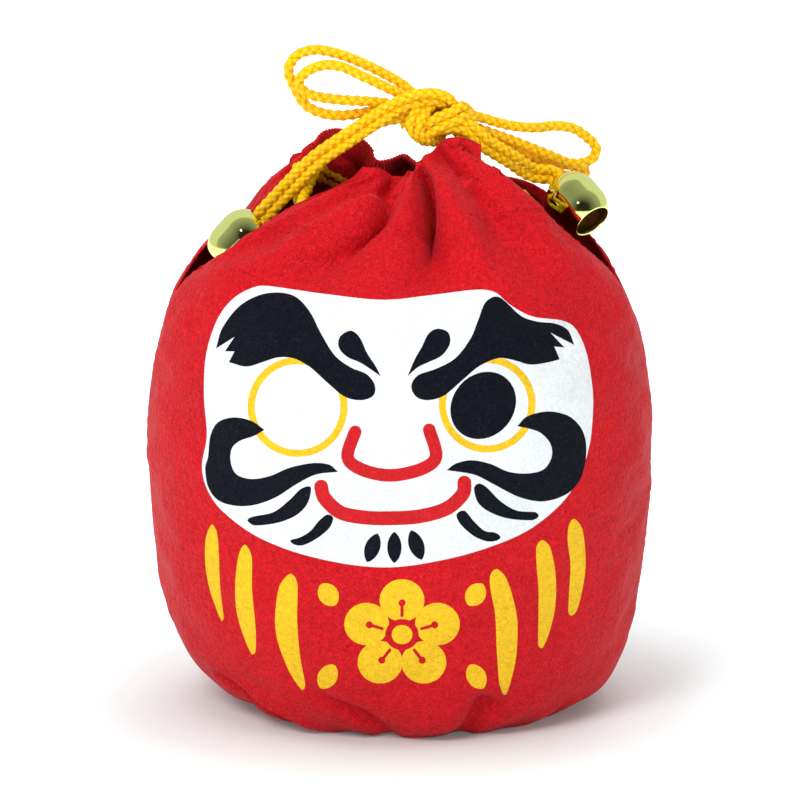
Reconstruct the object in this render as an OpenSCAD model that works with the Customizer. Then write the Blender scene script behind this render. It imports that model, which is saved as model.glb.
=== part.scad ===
// Small drawstring pouch with a doll's face, tied in a bow.
// Origin at the centre of the base, +Z up, the printed front faces -Y. Millimetres.

/* [Pouch] */
// Width across the belly
pouch_w = 126; // [118:1:132]
// Depth across the belly, front to back
pouch_d = 109; // [102:1:114]
// Height where the side slits begin
slit_z = 106; // [104:1:108]
// Thickness of the cloth
cloth_t = 0.9; // [0.6:0.1:1.0]
// Height of the gap between the body below and the two halves of the mouth
rim_gap = 0.4; // [0.3:0.1:0.6]

/* [Casings] */
// Half of the gap that the closed mouth leaves between the two hems
lip_y = 5.6; // [5.2:0.1:6.5]
// How far the slit's edges stand apart, each from the middle
slit_spread = 9; // [7:0.5:11]
// Depth of the gathers at the hem
fold_depth = 1.2; // [0.6:0.1:1.4]
// Number of gathers across one half
fold_count = 5; // [3:1:7]
// Room for the drawstrings inside the channel
channel_gap = 3.0; // [2.8:0.1:3.2]

/* [Cords] */
// Diameter of the braided cord
cord_d = 2.2; // [1.8:0.1:2.3]
// Radius of the knot that ends each cord pair
end_knot_r = 3.2; // [3.0:0.1:3.4]

/* [Beads] */
// Radius of the bead across its cord
bead_r = 6.75; // [6.5:0.05:7]
// Half of the straight band round the bead
bead_band = 1.8; // [1.2:0.1:2.2]
// Thickness of the plated wall
bead_wall = 0.8; // [0.6:0.1:0.9]
// Radius of the hole that the cords go in by
bead_hole_r = 2.75; // [2.7:0.05:2.9]
// Radius of the open mouth
bead_mouth_r = 4.7; // [4.4:0.1:5]

/* [Hidden] */

RED = "#d7262c";
RED_INSIDE = "#b3191f";
THREAD = "#e8484c";
YELLOW = "#f5b41e";
GOLD = "#d7d56e";
FRONT = -1;
BACK = 1;
tiny = 0.01;

// Height above the floor, then half width and half depth as shares of the belly's
BELLY = [
  [0, 0.71, 0.75], [3, 0.79, 0.82], [7, 0.84, 0.87], [14, 0.895, 0.92], [26, 0.95, 0.965],
  [42, 0.985, 0.99], [60, 1, 1], [76, 1, 0.98], [91, 0.96, 0.9], [100, 0.92, 0.82],
  [106, 0.88, 0.76]
];
BELLY_ROWS = [0, 1.5, 3, 5, 7, 10, 14, 20, 26, 34, 42, 51, 60, 68, 76, 84, 91, 100, 106];
BELLY_TOP = 106;
half_w = pouch_w / 2;
half_d = pouch_d / 2;
z_scale = slit_z / BELLY_TOP;

function belly_a(z) = half_w * lookup(z, [for (p = BELLY) [p[0], p[1]]]);
function belly_b(z) = half_d * lookup(z, [for (p = BELLY) [p[0], p[2]]]);

// A point on the body below the slits: s runs from -1 at the left seam to 1 at the right
function belly_point(side, s, z, inset = 0) = [
  (belly_a(z) - inset) * sin(90 * s),
  side * (belly_b(z) - inset) * cos(90 * s),
  z * z_scale
];

// Hem of each half: place across, then height. The front stands up in an ear on the right,
// the back in an ear on the left.
FRONT_HEM = [[-1, 137.5], [-0.6, 136], [-0.2, 135], [0.1, 138], [0.4, 142], [0.7, 141], [1, 137]];
BACK_HEM = [[-1, 135], [-0.75, 141], [-0.5, 142.5], [-0.2, 139], [0.1, 137], [0.6, 136], [1, 134]];
FRONT_TOP = [-9, 20];
BACK_TOP = [-21, 20];
pull_in = 1.1;
pull_up = 1.25;
function hem_z(side, s) = lookup(s, side == FRONT ? FRONT_HEM : BACK_HEM);
function hem_x(side, s) =
  let (ends = side == FRONT ? FRONT_TOP : BACK_TOP)
  (ends[0] + ends[1]) / 2 + s * (ends[1] - ends[0]) / 2;
function mix(a, b, f) = a + (b - a) * f;

// A point on one half of the gathered mouth: t runs from 0 at the slits to 1 at the hem
function flap_point(side, s, t) =
  let (rim = belly_point(side, s, BELLY_TOP))
  let (out = 1 - pow(t, pull_in), up = 1 - pow(1 - t, pull_up))
  let (fold = fold_depth * t * cos(180 * fold_count * s))
  let (spread = slit_spread * sin(180 * pow(t, 0.8)) * s * s)
  [
    mix(hem_x(side, s), rim[0], out),
    mix(side * lip_y, rim[1], out) + side * (spread + fold),
    mix(slit_z + rim_gap, hem_z(side, s), up)
  ];

// The same surface moved inwards along its normal, but never below the mouth's lower rim
step = 0.02;
function flap_normal(side, s, t) =
  let (s0 = max(s - step, -1), s1 = min(s + step, 1))
  let (t0 = max(t - step, 0), t1 = min(t + step, 1))
  let (across = flap_point(side, s1, t) - flap_point(side, s0, t))
  let (upward = flap_point(side, s, t1) - flap_point(side, s, t0))
  let (n = cross(across, upward) * side)
  n / norm(n);
function flap_inside(side, s, t, depth) =
  let (p = flap_point(side, s, t) + depth * flap_normal(side, s, t))
  [p[0], p[1], max(p[2], slit_z + rim_gap)];

// ---- solids made from points ----

// A closed skin between two grids of points that have the same rows and columns
module skin(outer, inner) {
  rows = len(outer);
  cols = len(outer[0]);
  shift = rows * cols;
  at = function(i, j) i * cols + j;
  grid = [
    for (i = [0:rows - 2], j = [0:cols - 2])
      [at(i, j), at(i, j + 1), at(i + 1, j + 1), at(i + 1, j)]
  ];
  front = [for (q = grid) each [[q[0], q[1], q[2]], [q[0], q[2], q[3]]]];
  back = [for (f = front) [f[2], f[1], f[0]] + shift * [1, 1, 1]];
  rim = concat(
    [for (j = [0:cols - 1]) at(0, j)],
    [for (i = [1:rows - 1]) at(i, cols - 1)],
    [for (j = [cols - 2:-1:0]) at(rows - 1, j)],
    [for (i = [rows - 2:-1:1]) at(i, 0)]
  );
  count = len(rim);
  wall = [
    for (k = [0:count - 1])
      let (a = rim[k], b = rim[(k + 1) % count])
      each [[b, a, a + shift], [b, a + shift, b + shift]]
  ];
  points = [for (row = concat(outer, inner)) each row];
  polyhedron(points, concat(front, back, wall), convexity = 8);
}

// Flip a skin's rows so that its faces look outwards on either side of the pouch
function reversed(list) = [for (i = [len(list) - 1:-1:0]) list[i]];
function outward_rows(side, rows) = side == FRONT ? rows : [for (r = rows) reversed(r)];

// A tube along a route; wide is its size across, thick its size along the steady direction
tube_sides = 8;
function unit(v) = v / norm(v);
function heading(route, i) =
  unit(route[min(i + 1, len(route) - 1)] - route[max(i - 1, 0)]);
function ring(centre, ahead, steady, wide, thick) =
  let (across = unit(cross(ahead, steady)), level = cross(across, ahead))
  [for (k = [0:tube_sides - 1])
    let (angle = 360 * (k + 0.5) / tube_sides)
    centre + across * wide / 2 * cos(angle) + level * thick / 2 * sin(angle)];
module tube(route, steady = [0, 1, 0], wide = cord_d, thick = cord_d) {
  count = len(route);
  points = [for (i = [0:count - 1]) each ring(route[i], heading(route, i), steady, wide, thick)];
  sides = [
    for (i = [0:count - 2], k = [0:tube_sides - 1])
      let (a = i * tube_sides + k, b = i * tube_sides + (k + 1) % tube_sides)
      each [[a, b, b + tube_sides], [a, b + tube_sides, a + tube_sides]]
  ];
  start = [for (k = [tube_sides - 1:-1:0]) k];
  finish = [for (k = [0:tube_sides - 1]) (count - 1) * tube_sides + k];
  polyhedron(points, concat(sides, [start], [finish]), convexity = 6);
}

// ---- body below the slits ----
panel_cols = 24;
module belly_half(side) {
  across = [for (j = [0:panel_cols]) -1 + 2 * j / panel_cols];
  outer = [for (z = BELLY_ROWS) [for (s = across) belly_point(side, s, z)]];
  inner = [for (z = BELLY_ROWS) [for (s = across) belly_point(side, s, z, cloth_t)]];
  skin(outward_rows(side, outer), outward_rows(side, inner));
}
module front_panel() { color(RED) belly_half(FRONT); }
module back_panel() { color(RED) belly_half(BACK); }

function base_outline(inset) = [
  for (k = [0:2 * panel_cols - 1])
    let (angle = 360 * k / (2 * panel_cols))
    [(belly_a(0) - inset) * cos(angle), (belly_b(0) - inset) * sin(angle)]
];
module base_panel() {
  color(RED) linear_extrude(cloth_t) polygon(base_outline(cloth_t));
}
// Turned-in allowance that joins the base to the panels
allowance_w = 4;
allowance_h = 2.4;
module base_seam() {
  color(THREAD) translate([0, 0, cloth_t]) linear_extrude(allowance_h) difference() {
    polygon(base_outline(cloth_t + tiny));
    polygon(base_outline(cloth_t + allowance_w));
  }
}

// Overlocked allowance of one side seam, inside the pouch
seam_t = 1.6;
seam_low = 4;
module side_seam(side) {
  rows = [for (z = BELLY_ROWS) if (z > seam_low && z < BELLY_TOP) z];
  edge = [for (z = rows) [side * (belly_a(z) - cloth_t), z * z_scale]];
  inner = [for (p = reversed(edge)) p - [side * allowance_w, 0]];
  translate([0, seam_t / 2, 0]) rotate([90, 0, 0]) linear_extrude(seam_t) polygon(concat(edge, inner));
}
module seam_left() { color(THREAD) side_seam(-1); }
module seam_right() { color(THREAD) side_seam(1); }

// ---- gathered halves of the mouth ----
flap_cols = 40;
flap_rows = 10;
channel_low = 0.52;
channel_high = 0.78;
channel_mid = (channel_low + channel_high) / 2;
function flap_columns() = [for (j = [0:flap_cols]) -1 + 2 * j / flap_cols];
module casing(side) {
  up = [for (i = [0:flap_rows]) i / flap_rows];
  outer = [for (t = up) [for (s = flap_columns()) flap_point(side, s, t)]];
  inner = [for (t = up) [for (s = flap_columns()) flap_inside(side, s, t, cloth_t)]];
  skin(outward_rows(side, outer), outward_rows(side, inner));
}
// Inner layer of the channel, sewn to the casing along its two edges
lining_rows = 6;
module facing(side) {
  steps = [for (i = [0:lining_rows]) i / lining_rows];
  up = [for (f = steps) mix(channel_low, channel_high, f)];
  gap = [for (f = steps) cloth_t + tiny + channel_gap * sqrt(sin(180 * f))];
  outer = [for (i = [0:lining_rows]) [for (s = flap_columns()) flap_inside(side, s, up[i], gap[i])]];
  inner = [
    for (i = [0:lining_rows])
      [for (s = flap_columns()) flap_inside(side, s, up[i], gap[i] + cloth_t)]
  ];
  skin(outward_rows(side, outer), outward_rows(side, inner));
}
// Two rows of thread that close the channel above and below
thread_d = 0.6;
thread_rings = 24;
thread_reach = 0.97;
function run_along(reach, rings) = [for (i = [0:rings]) reach * (2 * i / rings - 1)];
module stitching(side) {
  for (t = [channel_low, channel_high])
    tube([for (s = run_along(thread_reach, thread_rings)) flap_point(side, s, t)],
      steady = [0, 0, 1], wide = thread_d, thick = thread_d);
}
// The two cords side by side inside the channel, as one flat tube
run_rings = 10;
run_reach = 0.98;
run_squeeze = 0.8;
module drawstrings(side) {
  depth = cloth_t + channel_gap / 2;
  tube([for (s = run_along(run_reach, run_rings)) flap_inside(side, s, channel_mid, depth)],
    steady = [0, 0, 1], wide = run_squeeze * cord_d, thick = 2 * cord_d);
}
module front_casing() { color(RED) casing(FRONT); }
module front_facing() { color(RED_INSIDE) facing(FRONT); }
module front_stitching() { color(THREAD) stitching(FRONT); }
module front_drawstrings() { color(YELLOW) drawstrings(FRONT); }
module back_casing() { color(RED) casing(BACK); }
module back_facing() { color(RED_INSIDE) facing(BACK); }
module back_stitching() { color(THREAD) stitching(BACK); }
module back_drawstrings() { color(YELLOW) drawstrings(BACK); }

// ---- cords between the channels and the bow ----
// One cord crosses each slit, and the other's two ends leave it there and rise to the bow
BRIDGE_LEFT = [[-26.5, -7.5, 124.5], [-25, -2.5, 123.5], [-25, 2.5, 123.5], [-26.5, 7.5, 124.5]];
BRIDGE_RIGHT = [[31.5, -7.5, 124], [30, -2.5, 123], [30, 2.5, 123], [31.5, 7.5, 124]];
RISER_LEFT_FRONT = [
  [-27, -7, 128], [-24.2, -3.5, 127.2], [-22.8, 2, 129.6], [-21.2, 1.8, 133.4], [-18.4, 1.2, 137.4],
  [-14, 0.6, 141.9], [-7, 0.3, 145.8], [0, -0.3, 147.6]
];
RISER_LEFT_BACK = [
  [-27, 7, 128], [-26, 4.8, 131.3], [-20, 3.5, 137.2], [-14, 3, 141.8], [-7, 2.7, 146], [0, 2.2, 148]
];
RISER_RIGHT_FRONT = [
  [31.5, -7, 127.5], [31, -4, 127.3], [26, -2, 129.5], [19, -1.6, 136.5], [14, -1.5, 144.5]
];
RISER_RIGHT_BACK = [for (p = RISER_RIGHT_FRONT) [p[0], -p[1], p[2]]];
module riser(front, back) {
  tube(front);
  tube(back);
}
module bridge_left() { color(YELLOW) tube(BRIDGE_LEFT, steady = [0, 0, 1]); }
module bridge_right() { color(YELLOW) tube(BRIDGE_RIGHT, steady = [0, 0, 1]); }
module riser_left() { color(YELLOW) riser(RISER_LEFT_FRONT, RISER_LEFT_BACK); }
module riser_right() { color(YELLOW) riser(RISER_RIGHT_FRONT, RISER_RIGHT_BACK); }

// ---- bow ----
KNOT = [[4, 0, 148.5], [9.5, 0, 149.5], [14, 0, 147.5]];
knot_r = 4.8;
module bow_knot() {
  color(YELLOW) hull() for (p = KNOT) translate(p) sphere(knot_r, $fn = 24);
}
LOOP_LEFT_OUTER = [
  [-3, 6, 157.2], [-9, 6, 160.2], [-15, 6, 162.6], [-21, 6, 163.7], [-25.5, 6, 162.3], [-27.6, 6, 158.8],
  [-26, 6, 154], [-23.5, 6, 150], [-20, 6, 148], [-15, 6, 147.2], [-9, 6, 147.9]
];
LOOP_LEFT_INNER = [
  [-3, 3, 154.6], [-9.5, 3, 157.7], [-14.6, 3, 160], [-19, 3, 160.3], [-23.2, 3, 158.6],
  [-25, 3, 156.1], [-23.5, 3, 153.6], [-20.5, 3, 152.5], [-15, 3, 151.7], [-5, 3, 151]
];
LOOP_RIGHT_OUTER = [
  [20, 4, 147.1], [27, 7, 144.6], [33.6, 9.5, 143.5], [38.7, 11.5, 143.6], [43.2, 13, 142.7],
  [46.7, 14.5, 140.2], [49, 15, 137.5], [48.3, 15, 134.8], [45.4, 14, 133.7], [41.9, 13, 134],
  [37.7, 11, 136.1], [28, 8, 140.5]
];
LOOP_RIGHT_INNER = [
  [22, 7.5, 141], [31, 12, 136.5], [40, 16, 133.2], [46, 18, 131.5], [46, 20, 129], [39, 18, 130.5],
  [30, 14, 135], [23, 10.5, 138.5]
];
module bow_loop_left() {
  color(YELLOW) {
    tube(LOOP_LEFT_OUTER);
    tube(LOOP_LEFT_INNER);
  }
}
module bow_loop_right() {
  color(YELLOW) {
    tube(LOOP_RIGHT_OUTER);
    tube(LOOP_RIGHT_INNER);
  }
}

// Each tail is a cord pair side by side; its last stretch is straight, for the bead to slide on
BEAD_LEFT_AT = [-40, 3, 116];
BEAD_LEFT_DOWN = unit([-12, 1, -13.5]);
BEAD_RIGHT_AT = [44, 1, 126];
BEAD_RIGHT_DOWN = unit([0.55, -0.6, -0.58]);
TAIL_LEFT = [[-4, -2.4, 149], [-13, -2.4, 143], [-21, -1.8, 137.2]];
TAIL_RIGHT = [[21, -1.2, 141.5], [27.5, 2.2, 136.9], [33, 6, 132.8]];
straight_left = 16;
straight_right = 10;
knot_back = 2.4;
knot_bite = 1;
module tail(start, at, down, straight) {
  tail_end = knot_back + end_knot_r - knot_bite;
  tube(concat(start, [for (back = [straight, bead_r, tail_end]) at - down * back]), wide = 2 * cord_d);
}
module tail_left() { color(YELLOW) tail(TAIL_LEFT, BEAD_LEFT_AT, BEAD_LEFT_DOWN, straight_left); }
module tail_right() { color(YELLOW) tail(TAIL_RIGHT, BEAD_RIGHT_AT, BEAD_RIGHT_DOWN, straight_right); }
module end_knot(at, down) {
  color(YELLOW) translate(at - down * knot_back) sphere(end_knot_r, $fn = 32);
}
module end_knot_left() { end_knot(BEAD_LEFT_AT, BEAD_LEFT_DOWN); }
module end_knot_right() { end_knot(BEAD_RIGHT_AT, BEAD_RIGHT_DOWN); }

// ---- beads ----
arc_steps = 8;
// Points of one wall face: from the cord hole, round the band, to the open mouth
function bead_arc(r) =
  let (hole = -acos(bead_hole_r / r), mouth = acos(bead_mouth_r / r))
  concat(
    [for (i = [0:arc_steps]) let (a = mix(hole, 0, i / arc_steps)) [r * cos(a), r * sin(a) - bead_band]],
    [for (i = [0:arc_steps]) let (a = mix(0, mouth, i / arc_steps)) [r * cos(a), r * sin(a) + bead_band]]
  );
module bead(at, down) {
  tilt = acos(down[2]);
  turn = atan2(down[1], down[0]);
  color(GOLD) translate(at) rotate([0, tilt, turn])
    rotate_extrude($fn = 64) polygon(concat(bead_arc(bead_r), reversed(bead_arc(bead_r - bead_wall))));
}
module bead_left() { bead(BEAD_LEFT_AT, BEAD_LEFT_DOWN); }
module bead_right() { bead(BEAD_RIGHT_AT, BEAD_RIGHT_DOWN); }

front_panel();
back_panel();
base_panel();
base_seam();
seam_left();
seam_right();
front_casing();
front_facing();
front_stitching();
front_drawstrings();
back_casing();
back_facing();
back_stitching();
back_drawstrings();
bridge_left();
bridge_right();
riser_left();
riser_right();
bow_knot();
bow_loop_left();
bow_loop_right();
tail_left();
tail_right();
end_knot_left();
end_knot_right();
bead_left();
bead_right();
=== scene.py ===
"""Drawstring pouch printed with a folk doll's face, tied in a bow of braided cord with bead ends.

Lengths are in millimetres until a mesh is made. The printed front faces -Y and +Z is up.
"""
import math

import bpy
import numpy as np
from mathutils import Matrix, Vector
from mathutils.bvhtree import BVHTree
from mathutils.geometry import delaunay_2d_cdt


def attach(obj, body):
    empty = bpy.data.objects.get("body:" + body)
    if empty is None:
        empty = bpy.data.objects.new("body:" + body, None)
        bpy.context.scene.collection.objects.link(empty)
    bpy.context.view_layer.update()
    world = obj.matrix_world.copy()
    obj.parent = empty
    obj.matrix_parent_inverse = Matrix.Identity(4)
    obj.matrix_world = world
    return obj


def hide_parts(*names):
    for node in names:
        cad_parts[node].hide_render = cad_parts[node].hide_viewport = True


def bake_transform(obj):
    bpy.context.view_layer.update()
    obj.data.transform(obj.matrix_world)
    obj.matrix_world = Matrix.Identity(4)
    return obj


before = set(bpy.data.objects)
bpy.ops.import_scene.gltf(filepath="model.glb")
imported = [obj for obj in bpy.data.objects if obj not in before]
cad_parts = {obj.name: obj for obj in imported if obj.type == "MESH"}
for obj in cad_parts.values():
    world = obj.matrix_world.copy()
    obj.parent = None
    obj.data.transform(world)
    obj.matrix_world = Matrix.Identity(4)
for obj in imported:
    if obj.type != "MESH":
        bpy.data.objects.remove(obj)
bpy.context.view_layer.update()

MM = 0.001
FRONT, BACK = -1, 1

# ---------------------------------------------------------------- camera and light
VIEW_ELEVATION = math.radians(13)
VIEW_DISTANCE = 1400
VIEW_WIDTH = 200            # millimetres across the picture at the pouch
VIEW_TARGET = np.array([0.0, 0.0, 76.1])
VIEW_UP = np.array([0.0, math.sin(VIEW_ELEVATION), math.cos(VIEW_ELEVATION)])
VIEW_AHEAD = np.array([0.0, math.cos(VIEW_ELEVATION), -math.sin(VIEW_ELEVATION)])
VIEW_EYE = VIEW_TARGET - VIEW_DISTANCE * VIEW_AHEAD


def make_camera():
    data = bpy.data.cameras.new("camera")
    data.sensor_width = 36
    data.lens = data.sensor_width * VIEW_DISTANCE / VIEW_WIDTH
    data.clip_start = 0.01
    camera = bpy.data.objects.new("camera", data)
    camera.location = VIEW_EYE * MM
    camera.rotation_euler = (math.pi / 2 - VIEW_ELEVATION, 0, 0)
    bpy.context.scene.collection.objects.link(camera)
    bpy.context.scene.camera = camera


def soft_light(name, place, aim, size, power, mirrored=False):
    data = bpy.data.lights.new(name, "AREA")
    data.shape = "DISK"
    data.size = size
    data.energy = power
    light = bpy.data.objects.new(name, data)
    light.location = place
    light.visible_glossy = mirrored
    light.rotation_euler = (Vector(aim) - Vector(place)).to_track_quat("-Z", "Y").to_euler()
    bpy.context.scene.collection.objects.link(light)


def make_lights():
    """Soft lamps in a white room that is dark behind the camera, which the beads reflect."""
    soft_light("key", (-0.36, -0.68, 0.66), (0, 0, 0.07), 0.4, 4.8)
    soft_light("fill", (0.3, -0.85, 0.14), (0, 0, 0.05), 0.7, 2.1)
    soft_light("glint", (-0.25, -0.9, 0.75), (0, 0, 0.12), 0.12, 0.25, mirrored=True)
    soft_light("top", (0.0, -0.1, 0.95), (0, 0, 0.07), 0.9, 3.6)
    soft_light("back", (0.3, 0.8, 0.5), (0, 0, 0.08), 0.6, 2.0)
    world = bpy.data.worlds.new("studio")
    world.use_nodes = True
    nodes, links = world.node_tree.nodes, world.node_tree.links
    background = nodes["Background"]
    background.inputs["Strength"].default_value = 0.72
    place = nodes.new("ShaderNodeTexCoord")
    facing = nodes.new("ShaderNodeVectorMath")
    facing.operation = "DOT_PRODUCT"
    facing.inputs[1].default_value = Vector((0.1, -0.97, 0.2)).normalized()
    links.new(place.outputs["Generated"], facing.inputs[0])
    room = nodes.new("ShaderNodeValToRGB")
    room.color_ramp.elements[0].position, room.color_ramp.elements[0].color = 0.02, (1, 1, 1, 1)
    room.color_ramp.elements[1].position, room.color_ramp.elements[1].color = 0.93, (0.03, 0.03, 0.03, 1)
    for position, shade in ((0.14, 0.55), (0.45, 0.42), (0.78, 0.2)):
        room.color_ramp.elements.new(position).color = (shade, shade, shade, 1)
    links.new(facing.outputs["Value"], room.inputs["Fac"])
    links.new(room.outputs["Color"], background.inputs["Color"])
    bpy.context.scene.world = world
    bpy.context.scene.view_settings.view_transform = "Standard"


def new_piece(name, vertices, faces, materials, smooth=True):
    """A mesh object from points in millimetres."""
    mesh = bpy.data.meshes.new(name)
    mesh.from_pydata((np.asarray(vertices) * MM).tolist(), [], faces)
    for material in materials:
        mesh.materials.append(material)
    if smooth:
        mesh.shade_smooth()
    piece = bpy.data.objects.new(name, mesh)
    bpy.context.scene.collection.objects.link(piece)
    return piece


# ---------------------------------------------------------------- smooth tables
def cubic(f, a, leaving, b, reaching, span=1):
    """From a to b as f goes from 0 to 1, with the slopes that it leaves and reaches them by."""
    return (
        (2 * f**3 - 3 * f**2 + 1) * a + (f**3 - 2 * f**2 + f) * span * leaving
        + (3 * f**2 - 2 * f**3) * b + (f**3 - f**2) * span * reaching
    )


def smooth_table(x, xs, ys):
    """A smooth curve through the points of a table, read at x."""
    xs, ys = np.asarray(xs, float), np.asarray(ys, float)
    x = np.clip(x, xs[0], xs[-1])
    slopes = np.diff(ys) / np.diff(xs)
    tangents = np.concatenate([slopes[:1], (slopes[:-1] + slopes[1:]) / 2, slopes[-1:]])
    at = np.clip(np.searchsorted(xs, x, side="right") - 1, 0, len(xs) - 2)
    span = xs[at + 1] - xs[at]
    return cubic((x - xs[at]) / span, ys[at], tangents[at], ys[at + 1], tangents[at + 1], span)


def mix(a, b, f):
    return a + (b - a) * f


# ---------------------------------------------------------------- the pouch's form
HALF_W, HALF_D = 62.8, 54.0
SLIT_Z = 106.0
# Height, then half width and half depth as shares of the belly's
BELLY = np.array([
    (0, 0.70, 0.74), (3, 0.79, 0.82), (7, 0.84, 0.87), (14, 0.895, 0.92), (26, 0.95, 0.965),
    (42, 0.985, 0.99), (60, 1, 1), (76, 1, 0.98), (91, 0.96, 0.9), (100, 0.92, 0.82),
    (106, 0.88, 0.76),
])
# The filled pouch leans on its right: how much less the left half spreads near the floor
LEFT_TUCK = np.array([(0, 0.19), (1.2, 0.14), (3, 0.125), (7, 0.09), (14, 0.045), (26, 0.01), (42, 0)])
HEM = {
    FRONT: ((-1, 136.5), (-0.6, 135.5), (-0.2, 134.5), (0.1, 138), (0.35, 143), (0.7, 143.5), (1, 142)),
    BACK: (
        (-1, 138.5), (-0.85, 141.5), (-0.6, 143), (-0.35, 141.5), (-0.1, 137.5), (0.1, 136),
        (0.6, 135), (1, 134),
    ),
}
HEM_ENDS = {FRONT: (-9, 20), BACK: (-24.5, 20)}
LIP_Y = 5.6
SLIT_SPREAD = {FRONT: 9.0, BACK: 6.0}
# How the cloth draws in above the slits: share of the way up the cloth, share of the rim's spread
# that is left, and share of the rise to the hem
DRAW_IN = np.array([
    (0, 1, 0), (0.13, 0.9, 0.165), (0.245, 0.8, 0.3), (0.35, 0.7, 0.42), (0.465, 0.59, 0.55),
    (0.575, 0.48, 0.67), (0.667, 0.37, 0.765), (0.75, 0.26, 0.83), (0.825, 0.16, 0.875),
    (0.9, 0.07, 0.92), (1, 0, 1),
])
# Toward the left and the right slit: change to the rise, and how much sooner the cloth is drawn in
SIDE_RISE = {FRONT: (-0.06, -0.03), BACK: (0.06, 0.09)}
END_SOONER = {FRONT: (0, 0.2), BACK: (0.28, 0)}
EDGE_DROP = {FRONT: 0, BACK: 8}     # how far the left slit's edge turns down
FLAP_SPAN = 36.0            # a level is the height below the slits, and runs on to 142 at the hem

CHANNEL_LOW, CHANNEL_HIGH = 124.0, 134.0    # levels of the drawstring channel's two rows of stitches

COLS = 160
BELLY_ROWS, FLAP_ROWS = 92, 56
ROWS = BELLY_ROWS + FLAP_ROWS


def belly_grid(side, s, z):
    a = HALF_W * smooth_table(z, BELLY[:, 0], BELLY[:, 1])
    b = HALF_D * smooth_table(z, BELLY[:, 0], BELLY[:, 2])
    a -= HALF_W * np.where(s < 0, smooth_table(z, LEFT_TUCK[:, 0], LEFT_TUCK[:, 1]), 0)
    turn = np.radians(90 * s)
    return np.stack([a * np.sin(turn), side * b * np.cos(turn), z + 0 * s], axis=-1)


def flap_grid(side, s, t):
    rim = belly_grid(side, s, np.full_like(s, SLIT_Z))
    out = smooth_table(t, DRAW_IN[:, 0], DRAW_IN[:, 1])
    up = smooth_table(t, DRAW_IN[:, 0], DRAW_IN[:, 2])
    left, right = np.clip(-s, 0, 1) ** 2, np.clip(s, 0, 1) ** 2
    up += (SIDE_RISE[side][0] * left + SIDE_RISE[side][1] * right) * np.sin(math.pi * t)
    sooner = END_SOONER[side][0] * left + END_SOONER[side][1] * right
    out = np.clip((out - sooner) / (1 - sooner), 0, 1)
    ends = HEM_ENDS[side]
    hem_x = (ends[0] + ends[1]) / 2 + s * (ends[1] - ends[0]) / 2
    hem_z = smooth_table(s, *np.array(HEM[side]).T)
    spread = SLIT_SPREAD[side] * np.sin(np.pi * t**0.8) * s**2
    turned = np.clip((-s - 0.72) / 0.28, 0, 1) ** 2 * np.sin(np.pi * np.clip((t - 0.2) / 0.8, 0, 1))
    return np.stack([
        mix(hem_x, rim[..., 0], out),
        mix(side * LIP_Y, rim[..., 1], out) + side * (spread - 0.3 * EDGE_DROP[side] * turned),
        mix(SLIT_Z, hem_z, up) - EDGE_DROP[side] * turned,
    ], axis=-1)


def outward(side, points):
    """Unit normals of a panel's grid, out of the pouch."""
    across = np.gradient(points, axis=1)
    upward = np.gradient(points, axis=0)
    normal = np.cross(across, upward) * -side
    return normal / np.maximum(np.linalg.norm(normal, axis=-1, keepdims=True), 1e-9)


def soften_rows(points, middle, reach, passes):
    """Ease the points along the columns near one row, so that two surfaces run into each other."""
    rows = np.arange(len(points))
    weight = np.clip(1 - np.abs(rows - middle) / reach, 0, 1)[:, None, None] * 0.5
    for _ in range(passes):
        mean = points.copy()
        mean[1:-1] = (points[:-2] + points[2:]) / 2
        points = points + weight * (mean - points)
    return points


def bare_panel(side):
    """Grid of one half of the pouch with no folds: points, places across, and levels."""
    s_line = np.linspace(-1, 1, COLS)
    z_line = SLIT_Z * np.linspace(0, 1, BELLY_ROWS) ** 1.15
    t_line = np.linspace(0, 1, FLAP_ROWS + 1)[1:]
    s, z = np.meshgrid(s_line, z_line)
    lower = belly_grid(side, s, z)
    s2, t2 = np.meshgrid(s_line, t_line)
    upper = flap_grid(side, s2, t2)
    points = np.concatenate([lower, upper])
    level = np.concatenate([z, SLIT_Z + FLAP_SPAN * t2])
    points = soften_rows(points, BELLY_ROWS, 14, 30)
    return points, np.concatenate([s, s2]), level


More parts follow.
